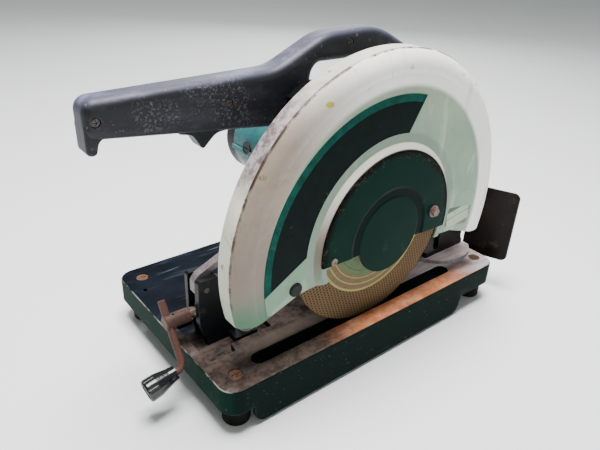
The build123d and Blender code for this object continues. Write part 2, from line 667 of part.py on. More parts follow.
def spindle():
    shaft = rod_y(WHEEL_X, WHEEL_Z, 8.5, FLANGE_FACE, GEAR_FRONT + GEAR_WIDTH + 0.5)
    tail = rod_y(WHEEL_X, WHEEL_Z, 4, GEAR_FRONT + GEAR_WIDTH, CASE_BACK - 6.2)
    thread = rod_y(WHEEL_X, WHEEL_Z, 4.2, FLANGE_FACE - 1, FLANGE_FACE + 22)
    return shaft + tail - thread


def inner_flange():
    body = rod_y(WHEEL_X, WHEEL_Z, 38, FLANGE_FACE, FLANGE_FACE + 2)
    body += turned_corners(((0, FLANGE_FACE + 1), (34, FLANGE_FACE + 1), (24, FLANGE_FACE + 7), (0, FLANGE_FACE + 7)),
                           WHEEL_X, WHEEL_Z)
    return body - rod_y(WHEEL_X, WHEEL_Z, 8.5, FLANGE_FACE - 1, FLANGE_FACE + 20)


def outer_flange():
    body = turned_corners(
        ((0, CLAMP_FACE), (38, CLAMP_FACE), (38, CLAMP_FACE - 2.5), (30, CLAMP_FACE - 7), (0, CLAMP_FACE - 7)),
        WHEEL_X, WHEEL_Z)
    body += rod_y(WHEEL_X, WHEEL_Z, WHEEL_BORE - 0.05, CLAMP_FACE, FLANGE_FACE)
    return body - rod_y(WHEEL_X, WHEEL_Z, 4.2, CLAMP_FACE - 9, FLANGE_FACE + 1)


def wheel_bolt():
    washer = rod_y(WHEEL_X, WHEEL_Z, 11, CLAMP_FACE - 9, CLAMP_FACE - 7)
    head = hex_y(WHEEL_X, WHEEL_Z, 15, CLAMP_FACE - 15, CLAMP_FACE - 9)
    return washer + head + rod_y(WHEEL_X, WHEEL_Z, 4, CLAMP_FACE - 9, FLANGE_FACE + 20)


def cutting_wheel():
    return ring_y(WHEEL_X, WHEEL_Z, WHEEL_RADIUS, WHEEL_BORE, CLAMP_FACE, FLANGE_FACE)


def wheel_label():
    return ring_y(WHEEL_X, WHEEL_Z, 85, 38.4, CLAMP_FACE - 0.35, CLAMP_FACE - 0.02)


def bearing(x, z, outer, inner, low, high):
    """Sealed ball bearing as two races with a shield between them."""
    races = ring_y(x, z, outer, inner, low, high)
    groove = ring_y(x, z, outer - 2, inner + 2, low - 1, low + 0.6) + ring_y(x, z, outer - 2, inner + 2, high - 0.6, high + 1)
    return races - groove


def spindle_bearings():
    near = bearing(WHEEL_X, WHEEL_Z, 20, 8.52, CASE_FRONT - 1.9, CASE_FRONT + 10)
    far = bearing(WHEEL_X, WHEEL_Z, 8.05, 4.02, CASE_BACK - 13, CASE_BACK - 7)
    return group((near, far))


# ---------------------------------------------------------------- motor
def armature_bearings():
    near = bearing(MOTOR_X, MOTOR_Z, 11, 5.02, CASE_BACK - 9, CASE_BACK - 1)
    far = bearing(MOTOR_X, MOTOR_Z, 9.5, 4.02, MOTOR_END - 8, MOTOR_END - 1)
    return group((near, far))


def armature_shaft():
    shaft = rod_y(MOTOR_X, MOTOR_Z, 5, GEAR_FRONT - 1, MOTOR_END - 12)
    return shaft + rod_y(MOTOR_X, MOTOR_Z, 4, MOTOR_END - 13, MOTOR_END - 0.5)


def armature_core():
    low, high = CASE_BACK + 26, CASE_BACK + 78
    core = rod_y(MOTOR_X, MOTOR_Z, 25, low, high)
    for x, z in around(14, 24):
        core -= rod_y(MOTOR_X + x, MOTOR_Z + z, 2.2, low - 1, high + 1)
    return core - rod_y(MOTOR_X, MOTOR_Z, 5, low - 1, high + 1)


def commutator():
    return ring_y(MOTOR_X, MOTOR_Z, 14, 5, MOTOR_END - 38, MOTOR_END - 22)


def cooling_fan():
    low = CASE_BACK + 4
    fan = ring_y(MOTOR_X, MOTOR_Z, 38, 5, low + 8, low + 11) + ring_y(MOTOR_X, MOTOR_Z, 12, 5, low, low + 10)
    for index in range(9):
        blade = block((MOTOR_X + 11, MOTOR_X + 37), (low, low + 9), (MOTOR_Z - 1, MOTOR_Z + 1))
        fan += blade.rotate(Axis((MOTOR_X, 0, MOTOR_Z), (0, 1, 0)), index * 40)
    return fan


def stator():
    low, high = CASE_BACK + 24, CASE_BACK + 80
    core = ring_y(MOTOR_X, MOTOR_Z, 45, 26.5, low, high)
    for side in (-1, 1):
        core -= block((MOTOR_X - 50, MOTOR_X + 50), (low - 1, high + 1),
                      tuple(sorted((MOTOR_Z + side * 38, MOTOR_Z + side * 60))))
        core -= along_y(disc(MOTOR_X + side * 31, MOTOR_Z, 7), low - 1, high + 1)
    return core


def motor_housing():
    """Tube round the motor, with a flat-sided band, a rib along each side and an end wall."""
    outer = disc(MOTOR_X, MOTOR_Z, MOTOR_RADIUS)
    ribs = outline(
        (MOTOR_X - 52.5, MOTOR_Z - 3), (MOTOR_X - 52.5, MOTOR_Z - 8), (MOTOR_X + 52.5, MOTOR_Z - 8),
        (MOTOR_X + 52.5, MOTOR_Z - 3))
    body = along_y(outer, CASE_BACK + 0.2, MOTOR_END)
    body += along_y(ribs - disc(MOTOR_X, MOTOR_Z, 48), CASE_BACK + 0.2, MOTOR_END)
    body += along_y(disc(MOTOR_X, MOTOR_Z, 53), CASE_BACK + 0.2, CASE_BACK + 8)
    body -= rod_y(MOTOR_X, MOTOR_Z, 45.5, CASE_BACK - 1, MOTOR_END - 10)
    body -= rod_y(MOTOR_X, MOTOR_Z, 9.6, MOTOR_END - 11, MOTOR_END + 1)
    for index in range(8):
        slot = block((MOTOR_X + 40, MOTOR_X + 56), (CASE_BACK + 11, CASE_BACK + 20), (MOTOR_Z - 3, MOTOR_Z + 3))
        body -= slot.rotate(Axis((MOTOR_X, 0, MOTOR_Z), (0, 1, 0)), 22.5 + index * 45)
    for side in (-1, 1):
        body -= rod_x(BRUSH_Y, MOTOR_Z, 8.2, *sorted((MOTOR_X + side * 36, MOTOR_X + side * 60)))
    for x, z in around(4, 46, 45):
        body -= rod_y(MOTOR_X + x, MOTOR_Z + z, 2.2, MOTOR_END - 9, MOTOR_END + 1)
    return body


BRUSH_Y = MOTOR_END - 30


def brush_caps():
    caps = []
    for side in (-1, 1):
        low, high = sorted((MOTOR_X + side * 44, MOTOR_X + side * 51.5))
        cap = rod_x(BRUSH_Y, MOTOR_Z, 8, low, high)
        slot = block(tuple(sorted((MOTOR_X + side * 50.5, MOTOR_X + side * 53))), (BRUSH_Y - 6, BRUSH_Y + 6),
                     (MOTOR_Z - 0.8, MOTOR_Z + 0.8))
        brush = block(tuple(sorted((MOTOR_X + side * 14.4, MOTOR_X + side * 44))), (BRUSH_Y - 5, BRUSH_Y + 5),
                      (MOTOR_Z - 3, MOTOR_Z + 3))
        caps.append(cap - slot + brush)
    return group(caps)


def motor_end_cap():
    cap = rod_y(MOTOR_X, MOTOR_Z, MOTOR_RADIUS, MOTOR_END + 0.2, CAP_END)
    cap = fillet(cap.edges().sort_by(Axis.Y)[-1], 9)
    cap -= rod_y(MOTOR_X, MOTOR_Z, MOTOR_RADIUS - 9, MOTOR_END - 1, CAP_END - 4)
    for row in (-24, -12, 0, 12, 24):
        half = math.sqrt(32 ** 2 - row ** 2)
        cap -= block((MOTOR_X - half, MOTOR_X + half), (CAP_END - 6, CAP_END + 1), (MOTOR_Z + row - 2.5, MOTOR_Z + row + 2.5))
    for x, z in around(4, 46, 45):
        cap -= rod_y(MOTOR_X + x, MOTOR_Z + z, 2.2, MOTOR_END, CAP_END + 1)
        cap -= rod_y(MOTOR_X + x, MOTOR_Z + z, 4.4, CAP_END - 8, CAP_END + 1)
    return cap


def end_cap_screws():
    screws = []
    for x, z in around(4, 46, 45):
        head = rod_y(MOTOR_X + x, MOTOR_Z + z, 4, CAP_END - 8, CAP_END - 5)
        shank = rod_y(MOTOR_X + x, MOTOR_Z + z, 2, MOTOR_END - 8, CAP_END - 8)
        slot = block((MOTOR_X + x - 3, MOTOR_X + x + 3), (CAP_END - 6, CAP_END - 4), (MOTOR_Z + z - 0.5, MOTOR_Z + z + 0.5))
        screws.append(head + shank - slot)
    return group(screws)


# ---------------------------------------------------------------- guard
def guard_mouth():
    """X-Z outline of what the guard leaves open below it."""
    left = [(-230, -120), (-230, 64), (-173, 64), (-125, 81), (-96, 83)]
    right = [(-x, z) for x, z in reversed(left)]
    return outline(*[(WHEEL_X + x, BASE_TOP + z) for x, z in left + right])


def guard_near_shell():
    """Dished near half of the guard, with the raised round seat of the centre cover."""
    depth = GUARD_SEAM - GUARD_FACE - 0.3
    rim_y = GUARD_FACE + depth
    middle = (GUARD_RADIUS - 5.5, GUARD_FACE + 3.2)
    with BuildLine() as skin:
        Polyline((0, GUARD_FACE), (GUARD_FACE_RADIUS, GUARD_FACE))
        ThreePointArc((GUARD_FACE_RADIUS, GUARD_FACE), middle, (GUARD_RADIUS, rim_y))
        Polyline((GUARD_RADIUS, rim_y), (0, rim_y), (0, GUARD_FACE))
    inner_middle = (GUARD_RADIUS - 5.5 - 1.6, GUARD_FACE + 3.2 + 1.9)
    with BuildLine() as hollow:
        Polyline((0, GUARD_FACE + 2.5), (GUARD_FACE_RADIUS, GUARD_FACE + 2.5))
        ThreePointArc((GUARD_FACE_RADIUS, GUARD_FACE + 2.5), inner_middle, (GUARD_RADIUS - 2.5, rim_y + 1))
        Polyline((GUARD_RADIUS - 2.5, rim_y + 1), (0, rim_y + 1), (0, GUARD_FACE + 2.5))
    body = turned(skin.line, WHEEL_X, WHEEL_Z) - turned(hollow.line, WHEEL_X, WHEEL_Z)
    seat = turned_corners(
        ((0, GUARD_FACE + 1), (108, GUARD_FACE + 1), (108, GUARD_FACE), (101.6, BOSS_FACE), (0, BOSS_FACE)),
        WHEEL_X, WHEEL_Z)
    under = turned_corners(
        ((0, GUARD_FACE + 3), (105, GUARD_FACE + 3), (99, BOSS_FACE + 2.2), (0, BOSS_FACE + 2.2)), WHEEL_X, WHEEL_Z)
    body = body + seat - under
    body -= rod_y(WHEEL_X, WHEEL_Z, 94, GUARD_FACE - 20, GUARD_FACE + 30)
    body += cover_ear()
    body -= along_y(guard_mouth(), NEAR - 5, GUARD_BACK + 5)
    body -= rod_y(PLUG_X, PLUG_Z, 5.6, GUARD_FACE - 5, GUARD_SEAM)
    for x, z, radius in ((COVER_PIVOT_X, COVER_PIVOT_Z, 3.2), (COVER_LATCH_X, COVER_LATCH_Z, 2.4)):
        body -= rod_y(x, z, radius, GUARD_FACE - 20, GUARD_SEAM)
    return body


COVER_PIVOT_X, COVER_PIVOT_Z = WHEEL_X + 73.7, WHEEL_Z + 10.4
COVER_LATCH_X, COVER_LATCH_Z = WHEEL_X - 85.2, WHEEL_Z - 5.8
PLUG_X, PLUG_Z = WHEEL_X - 131.5, WHEEL_Z - 26.5


def cover_ear():
    """Lugs inside the seat for the centre cover's pivot bolt and latch screw."""
    pivot = hull_of_circles(((COVER_PIVOT_X, COVER_PIVOT_Z, 11), (WHEEL_X + 96.5, COVER_PIVOT_Z + 2, 14)))
    latch = hull_of_circles(((COVER_LATCH_X, COVER_LATCH_Z, 7), (WHEEL_X - 96.5, COVER_LATCH_Z - 1, 9)))
    lugs = along_y((pivot + latch) & disc(WHEEL_X, WHEEL_Z, 98), BOSS_FACE, BOSS_FACE + 3)
    return lugs


def guard_far_shell():
    """Far half of the guard: deep rim, flat back and a hole for the spindle's bearing housing."""
    shape = rod_y(WHEEL_X, WHEEL_Z, GUARD_RADIUS, GUARD_SEAM + 0.3, GUARD_BACK)
    shape = fillet(shape.edges().sort_by(Axis.Y)[-1], 6)
    shape -= rod_y(WHEEL_X, WHEEL_Z, GUARD_RADIUS - 3, GUARD_SEAM - 5, GUARD_BACK - 3)
    shape -= rod_y(WHEEL_X, WHEEL_Z, 25, GUARD_BACK - 10, GUARD_BACK + 1)
    shape -= along_y(guard_mouth(), NEAR - 5, GUARD_BACK + 5)
    for x, z in guard_bolt_places():
        shape -= rod_y(x, z, 3.3, GUARD_BACK - 5, GUARD_BACK + 1)
    return shape


def guard_bolt_places():
    return [(WHEEL_X + x, WHEEL_Z + z) for x, z in around(3, 40, 90)]


def guard_bolts():
    bolts = []
    for x, z in guard_bolt_places():
        head = hex_y(x, z, 10, GUARD_BACK - 7.2, GUARD_BACK - 3.1)
        bolts.append(head + rod_y(x, z, 3, GUARD_BACK - 3.2, CASE_FRONT + 3))
    return group(bolts)


def guard_label():
    """Thin crescent plate on the guard's face."""
    outer = Pos(WHEEL_X - 3, WHEEL_Z - 7.4) * Circle(168.5)
    inner = disc(WHEEL_X, WHEEL_Z, 118.5)
    sector = outline(
        (WHEEL_X - 94, WHEEL_Z - 2), (WHEEL_X - 200, WHEEL_Z - 66), (WHEEL_X - 260, WHEEL_Z + 120),
        (WHEEL_X - 120, WHEEL_Z + 260), (WHEEL_X + 80, WHEEL_Z + 227), (WHEEL_X + 8, WHEEL_Z + 100))
    face = (outer - inner) & sector
    return along_y(face - disc(PLUG_X, PLUG_Z, 8.3), GUARD_FACE - 0.5, GUARD_FACE - 0.02)


def guard_plug():
    plug = rod_y(PLUG_X, PLUG_Z, 8, GUARD_FACE - 3, GUARD_FACE - 0.02)
    plug = fillet(plug.edges().sort_by(Axis.Y)[0], 2)
    return plug + rod_y(PLUG_X, PLUG_Z, 5.4, GUARD_FACE - 0.5, GUARD_FACE + 5)


def centre_cover():
    """Green pressing over the wheel's hub: upper part of a dished disc with its round centre kept whole."""
    face = COVER_FACE
    back = BOSS_FACE - 0.4
    body = turned_corners(
        ((0, face + 0.8), (46, face + 0.8), (48.5, face + 1.4), (56, face + 1.4), (60, face), (99.6, face),
         (COVER_RADIUS, face + 0.8), (COVER_RADIUS, back), (99, back), (99, face + 1.4), (62, face + 1.4), (60, back),
         (0, back)), WHEEL_X, WHEEL_Z)
    cut_left, cut_right = WHEEL_Z - 9.5, WHEEL_Z - 16.5
    keep = outline(
        (WHEEL_X - 120, cut_left), (WHEEL_X + 120, cut_right), (WHEEL_X + 120, WHEEL_Z + 120),
        (WHEEL_X - 120, WHEEL_Z + 120)) + disc(WHEEL_X, WHEEL_Z + 1, 47.5)
    body &= along_y(keep, face - 5, face + 12)
    body -= rod_y(COVER_PIVOT_X, COVER_PIVOT_Z, 4.05, face - 5, face + 12)
    return body - rod_y(COVER_LATCH_X, COVER_LATCH_Z, 2.6, face - 5, face + 12) - latch_slot()


def latch_slot():
    """Open slot below the latch screw, so that the cover swings clear of it."""
    return block((COVER_LATCH_X - 2.6, COVER_LATCH_X + 2.6), (COVER_FACE - 5, COVER_FACE + 12), (COVER_LATCH_Z - 30, COVER_LATCH_Z))


def cover_pivot_bolt():
    """Shouldered hexagon bolt and washer that the centre cover turns on."""
    shoulder = rod_y(COVER_PIVOT_X, COVER_PIVOT_Z, 4.0, COVER_FACE - 0.4, BOSS_FACE - 0.05)
    washer = rod_y(COVER_PIVOT_X, COVER_PIVOT_Z, 7.5, COVER_FACE - 1.8, COVER_FACE - 0.3)
    head = hex_y(COVER_PIVOT_X, COVER_PIVOT_Z, 9, NEAR + 0.2, COVER_FACE - 1.7)
    shank = rod_y(COVER_PIVOT_X, COVER_PIVOT_Z, 3.0, BOSS_FACE - 0.1, BOSS_FACE + 8)
    return shoulder + washer + head + shank


def cover_latch_screw():
    head = ring_y(COVER_LATCH_X, COVER_LATCH_Z, 4.2, 1.6, COVER_FACE - 1.4, COVER_FACE - 0.3)
    base = rod_y(COVER_LATCH_X, COVER_LATCH_Z, 4.2, COVER_FACE - 0.9, COVER_FACE - 0.3)
    return head + base + rod_y(COVER_LATCH_X, COVER_LATCH_Z, 2.2, COVER_FACE - 0.9, BOSS_FACE + 6)


# ---------------------------------------------------------------- handle
def handle_outline():
    """Side view of the handle: straight grip, then an arch down to the rear of the arm."""
    x0, z0 = BASE_FRONT, BASE_TOP
    return soft_outline(
        (FRONT, z0 + 296.5, 12), (x0 + 111, z0 + 301.5, 60), (x0 + 173, z0 + 330.5, 70), (x0 + 248, z0 + 333.5, 90),
        (x0 + 314, z0 + 301, 60), (x0 + 330, z0 + 252, 9.5), (x0 + 301, z0 + 252, 9.5), (x0 + 299, z0 + 282, 20),
        (x0 + 248, z0 + 302, 50), (x0 + 157, z0 + 302, 14), (x0 + 150, z0 + 242, 10), (x0 + 114, z0 + 243, 12),
        (FRONT, z0 + 263.5, 10))


def handle_lip(side):
    """Half of the lip that hangs from the front end of the grip."""
    top, bottom = BASE_TOP + 276, BASE_TOP + 249
    side_view = soft_outline(
        (FRONT, top, 1), (FRONT, bottom, 4.5), (FRONT + 8.8, bottom + 0.5, 4), (FRONT + 12, bottom + 13, 7),
        (FRONT + 24, bottom + 14.5, 1), (FRONT + 24, top, 1))
    lip = along_y(side_view, *sorted((HANDLE_Y + side * 0.05, HANDLE_Y + side * LIP_HALF)))
    return fillet(lip.faces().sort_by(Axis.Y)[0 if side < 0 else -1].edges(), 3.5)


TRIGGER_PIVOT = (BASE_FRONT + 66, BASE_TOP + 260)
HANDLE_SCREWS = [
    (BASE_FRONT - 70, BASE_TOP + 279), (BASE_FRONT + 55, BASE_TOP + 277), (BASE_FRONT + 133, BASE_TOP + 277),
    (BASE_FRONT + 204, BASE_TOP + 320)]
SWITCH_PLACE = ((BASE_FRONT + 74, BASE_FRONT + 104), (BASE_TOP + 258, BASE_TOP + 290))


def trigger_outline():
    """Side view of the finger trigger: a body inside the grip and a pointed hump below it."""
    x0, z0 = BASE_FRONT, BASE_TOP
    return soft_outline(
        (x0 + 6, z0 + 259, 1), (x0 + 6, z0 + 253, 2), (x0 + 20, z0 + 250, 10), (x0 + 30, z0 + 234, 2.5),
        (x0 + 45, z0 + 248, 16), (x0 + 60, z0 + 249, 3), (x0 + 72, z0 + 253, 3), (x0 + 72, z0 + 266, 2))


def trigger():
    body = along_y(trigger_outline(), HANDLE_Y - 8, HANDLE_Y + 8)
    return body - rod_y(*TRIGGER_PIVOT, 2.55, HANDLE_Y - 20, HANDLE_Y + 20)


def trigger_pin():
    return rod_y(*TRIGGER_PIVOT, 2.5, HANDLE_Y - 13.5, HANDLE_Y + 13.5)


def handle_half(side):
    """One moulded half of the handle; side -1 is the near half."""
    parting = HANDLE_Y + side * 0.05
    outside = HANDLE_Y + side * HANDLE_HALF
    shape = along_y(handle_outline(), *sorted((parting, outside)))
    outer_face = shape.faces().sort_by(Axis.Y)[0 if side < 0 else -1]
    shape = fillet(outer_face.edges(), 9) + handle_lip(side)
    hollow = offset(handle_outline(), -HANDLE_WALL - 4, kind=Kind.INTERSECTION)
    shape -= along_y(hollow, *sorted((HANDLE_Y - side, outside - side * HANDLE_WALL)))
    opening = outline(
        (BASE_FRONT + 1, BASE_TOP + 230), (BASE_FRONT + 75, BASE_TOP + 230), (BASE_FRONT + 75, BASE_TOP + 274),
        (BASE_FRONT + 1, BASE_TOP + 270))
    shape -= along_y(opening, HANDLE_Y - 8.6, HANDLE_Y + 8.6)
    shape += along_y(disc(*TRIGGER_PIVOT, 5), *sorted((HANDLE_Y + side * 8.8, outside - side * 2)))
    shape -= rod_y(*TRIGGER_PIVOT, 2.52, HANDLE_Y - 13.6, HANDLE_Y + 13.6)
    for x, z in HANDLE_SCREWS + handle_mounts():
        shape += rod_y(x, z, 5, *sorted((parting, outside - side * 2)))
        shape -= rod_y(x, z, 2.2, HANDLE_Y - 40, HANDLE_Y + (12 if side > 0 else 40))
    if side < 0:
        for x, z in HANDLE_SCREWS:
            shape -= rod_y(x, z, 4.6, outside - 1, outside + 2.6)
    if side > 0:
        shape -= rod_y(LOCK_ON_X, LOCK_ON_Z, 4.05, outside - HANDLE_WALL - 1, outside + 1)
    return shape - gland_bore()


LOCK_ON_X, LOCK_ON_Z = BASE_FRONT + 30, BASE_TOP + 280


def handle_near_half():
    return handle_half(-1)


def handle_far_half():
    return handle_half(1)


def lock_on_button():
    """Small push button in the far face of the grip that holds the trigger on."""
    inside, face = HANDLE_Y + HANDLE_HALF - HANDLE_WALL - 0.3, HANDLE_Y + HANDLE_HALF + 4.5
    button = rod_y(LOCK_ON_X, LOCK_ON_Z, 4.0, inside, face)
    button = fillet(button.edges().sort_by(Axis.Y)[-1], 1.2)
    return button + rod_y(LOCK_ON_X, LOCK_ON_Z, 5.5, inside - 2, inside)


def handle_screws():
    seat = HANDLE_Y - HANDLE_HALF + 2.6
    screws = [screw_near(x, z, seat, 4.2, 2.0, 22) for x, z in HANDLE_SCREWS]
    screws += [screw_near(x, z, CASE_SPLIT, 4.2, 2.0, 24) for x, z in handle_mounts()]
    return group(screws)


def switch_body():
    x, z = SWITCH_PLACE
    return block(x, (HANDLE_Y - 10, HANDLE_Y + 10), z)


GLAND_X, GLAND_Z = BASE_FRONT + 316, BASE_TOP + 261


def gland_place():
    return Pos(GLAND_X + 3, HANDLE_Y, GLAND_Z - 7) * Rot(0, 12, 0)


def gland_bore():
    return gland_place() * Cylinder(6.2, 28)


def cord_gland():
    gland = Cylinder(6, 22) + Pos(0, 0, -15) * Cylinder(8, 5)
    gland += Pos(0, 0, -12) * Cylinder(6, 4)
    gland -= Cylinder(4, 40)
    return gland_place() * gland


def spindle_lock_button():
    """Push button in the gear case's back that stops the drive gear."""
    button = rod_y(LOCK_X, LOCK_Z, 5.0, CASE_BACK - 6, CASE_BACK + 9)
    return fillet(button.edges().sort_by(Axis.Y)[-1], 1.5)


PARTS = (
    base_casting, rubber_feet, foot_screws, fence, base_bolts, vice_bracket, vice_bracket_bolts, lever_pin,
    half_nut_lever, vice_screw, crank_hub, crank_rod, crank_knob, vice_jaw, hinge_bracket,
    hinge_pin, return_spring, lock_pin, stop_bolt, spark_plate, spark_plate_bolts, arm_casting, gear_case_cover,
    gear_case_screws, drive_gear, pinion, spindle, inner_flange, outer_flange, wheel_bolt, cutting_wheel,
    wheel_label, spindle_bearings, armature_bearings, armature_shaft, armature_core, commutator, cooling_fan,
    stator, motor_housing, brush_caps, motor_end_cap, end_cap_screws, guard_near_shell, guard_far_shell,
    guard_bolts, guard_label, guard_plug, centre_cover, cover_pivot_bolt, cover_latch_screw, trigger, trigger_pin,
    handle_near_half, handle_far_half, handle_screws, lock_on_button, switch_body, cord_gland,
    spindle_lock_button)

if __name__ == "__main__":
    os.makedirs("parts", exist_ok=True)
    for make in PARTS:
        export_step(make(), f"parts/{make.__name__}.step")
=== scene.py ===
"""Looks for the abrasive chop saw: materials, small extra pieces, a pale floor, soft light and a camera."""
import math

import bmesh
import bpy
from mathutils import Matrix, Vector


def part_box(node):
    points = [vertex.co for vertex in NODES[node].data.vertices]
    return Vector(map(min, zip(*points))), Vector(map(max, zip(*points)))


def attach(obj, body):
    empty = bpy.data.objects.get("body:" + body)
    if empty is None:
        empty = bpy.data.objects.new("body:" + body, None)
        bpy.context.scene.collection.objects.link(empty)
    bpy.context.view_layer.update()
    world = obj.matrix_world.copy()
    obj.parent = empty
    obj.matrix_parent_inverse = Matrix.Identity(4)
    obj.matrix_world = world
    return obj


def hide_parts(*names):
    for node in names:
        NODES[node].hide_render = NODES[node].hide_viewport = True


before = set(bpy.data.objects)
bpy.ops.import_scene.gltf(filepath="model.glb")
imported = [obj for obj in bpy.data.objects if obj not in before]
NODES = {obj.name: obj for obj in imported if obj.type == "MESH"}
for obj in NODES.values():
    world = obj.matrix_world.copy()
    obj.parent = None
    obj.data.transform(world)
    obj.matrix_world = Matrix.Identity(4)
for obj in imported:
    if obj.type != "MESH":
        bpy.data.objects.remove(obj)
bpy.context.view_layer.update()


# ------------------------------------------------------------------ shader helper
def rgb(red, green, blue):
    """Linear colour from ordinary 0-255 screen values."""
    def linear(value):
        share = value / 255
        return share / 12.92 if share <= 0.04045 else ((share + 0.055) / 1.055) ** 2.4
    return (linear(red), linear(green), linear(blue), 1.0)


EDGE_TURN_LEAST, EDGE_TURN_FULL = 0.04, 0.25


class Shader:
    """A material whose nodes are added one call at a time. Values may be numbers, colours or sockets."""

    def __init__(self, name, roughness=0.5, metallic=0.0, specular=0.5):
        self.material = bpy.data.materials.new(name)
        self.material.use_nodes = True
        self.tree = self.material.node_tree
        self.tree.nodes.clear()
        self.output = self.tree.nodes.new("ShaderNodeOutputMaterial")
        self.surface = self.tree.nodes.new("ShaderNodeBsdfPrincipled")
        self.tree.links.new(self.surface.outputs[0], self.output.inputs[0])
        self.surface.inputs["Roughness"].default_value = roughness
        self.surface.inputs["Metallic"].default_value = metallic
        self.surface.inputs["Specular IOR Level"].default_value = specular
        self.coordinates = self.tree.nodes.new("ShaderNodeTexCoord")
        self.place = self.coordinates.outputs["Object"]
        self.facing = self.coordinates.outputs["Normal"]

    def put(self, socket, value):
        if isinstance(value, bpy.types.NodeSocket):
            self.tree.links.new(value, socket)
        elif value is not None:
            socket.default_value = value

    def math(self, kind, a, b=None):
        node = self.tree.nodes.new("ShaderNodeMath")
        node.operation = kind
        for socket, value in zip(node.inputs, (a, b)):
            self.put(socket, value)
        return node.outputs[0]

    def add(self, a, b):
        return self.math("ADD", a, b)

    def times(self, a, b):
        return self.math("MULTIPLY", a, b)

    def larger(self, a, b):
        return self.math("MAXIMUM", a, b)

    def inverse(self, a):
        return self.math("SUBTRACT", 1.0, a)

    def vector(self, kind, a, b=None):
        node = self.tree.nodes.new("ShaderNodeVectorMath")
        node.operation = kind
        self.put(node.inputs[0], a)
        if b is not None:
            self.put(node.inputs[1], b)
        return node.outputs["Value" if kind in ("LENGTH", "DOT_PRODUCT", "DISTANCE") else "Vector"]

    def axis(self, index, source=None):
        node = self.tree.nodes.new("ShaderNodeSeparateXYZ")
        self.put(node.inputs[0], source or self.place)
        return node.outputs[index]

    def stretched(self, scale, shift=(0, 0, 0), turn=(0, 0, 0), source=None):
        node = self.tree.nodes.new("ShaderNodeMapping")
        self.put(node.inputs["Vector"], source or self.place)
        node.inputs["Location"].default_value = shift
        node.inputs["Rotation"].default_value = turn
        node.inputs["Scale"].default_value = scale
        return node.outputs[0]

    def noise(self, scale, detail=4, rough=0.55, stretch=(1, 1, 1), shift=(0, 0, 0), turn=(0, 0, 0)):
        node = self.tree.nodes.new("ShaderNodeTexNoise")
        self.put(node.inputs["Vector"], self.stretched(stretch, shift, turn))
        node.inputs["Scale"].default_value = scale
        node.inputs["Detail"].default_value = detail
        node.inputs["Roughness"].default_value = rough
        return node.outputs[0]

    def cells(self, scale):
        node = self.tree.nodes.new("ShaderNodeTexVoronoi")
        self.put(node.inputs["Vector"], self.stretched((1, 1, 1)))
        node.inputs["Scale"].default_value = scale
        return node.outputs["Distance"]

    def stripes(self, scale, direction="X", source=None):
        node = self.tree.nodes.new("ShaderNodeTexWave")
        node.bands_direction = direction
        self.put(node.inputs["Vector"], self.stretched((1, 1, 1), source=source))
        node.inputs["Scale"].default_value = scale
        return node.outputs["Fac"]

    def step(self, value, low, high):
        """0 below low, 1 above high and smooth between; low may be the larger one."""
        node = self.tree.nodes.new("ShaderNodeMapRange")
        node.interpolation_type = "SMOOTHSTEP"
        self.put(node.inputs["Value"], value)
        if low < high:
            limits = (low, high, 0.0, 1.0)
        else:
            limits = (high, low, 1.0, 0.0)
        for socket, number in zip(node.inputs[1:5], limits):
            socket.default_value = number
        return node.outputs[0]

    def band(self, value, low, high, soft):
        above_low = self.step(value, low - soft, low + soft)
        return self.times(above_low, self.step(value, high + soft, high - soft))

    def mix(self, share, a, b):
        node = self.tree.nodes.new("ShaderNodeMix")
        node.data_type = "RGBA"
        self.put(node.inputs["Factor"], share)
        self.put(node.inputs[6], a)
        self.put(node.inputs[7], b)
        return node.outputs[2]

    def blend(self, share, a, b):
        """Number between a and b."""
        node = self.tree.nodes.new("ShaderNodeMix")
        node.data_type = "FLOAT"
        self.put(node.inputs["Factor"], share)
        self.put(node.inputs[2], a)
        self.put(node.inputs[3], b)
        return node.outputs[0]

    def edges(self, radius):
        """Mask of sharp outer edges and corners, about radius wide."""
        bevel = self.tree.nodes.new("ShaderNodeBevel")
        bevel.samples = 6
        bevel.inputs["Radius"].default_value = radius
        geometry = self.tree.nodes.new("ShaderNodeNewGeometry")
        agreement = self.vector("DOT_PRODUCT", bevel.outputs[0], geometry.outputs["Normal"])
        return self.step(self.inverse(agreement), EDGE_TURN_LEAST, EDGE_TURN_FULL)

    def bump(self, height, depth, strength):
        node = self.tree.nodes.new("ShaderNodeBump")
        node.inputs["Strength"].default_value = strength
        node.inputs["Distance"].default_value = depth
        self.put(node.inputs["Height"], height)
        return node.outputs[0]

    def finish(self, color=None, roughness=None, normal=None, metallic=None):
        if color is not None:
            self.put(self.surface.inputs["Base Color"], color)
        if roughness is not None:
            self.put(self.surface.inputs["Roughness"], roughness)
        if metallic is not None:
            self.put(self.surface.inputs["Metallic"], metallic)
        if normal is not None:
            self.put(self.surface.inputs["Normal"], normal)
        return self.material


# ------------------------------------------------------------------ places taken from the frame
def middle(node):
    low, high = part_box(node)
    return (low + high) / 2


WHEEL = middle("cutting_wheel")
BASE_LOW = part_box("base_casting")[0]
BASE_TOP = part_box("fence")[0].z
NEAR = BASE_LOW.y
FRONT = BASE_LOW.x
GUARD_FACE_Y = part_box("guard_label")[1].y
SEAM_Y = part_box("guard_far_shell")[0].y

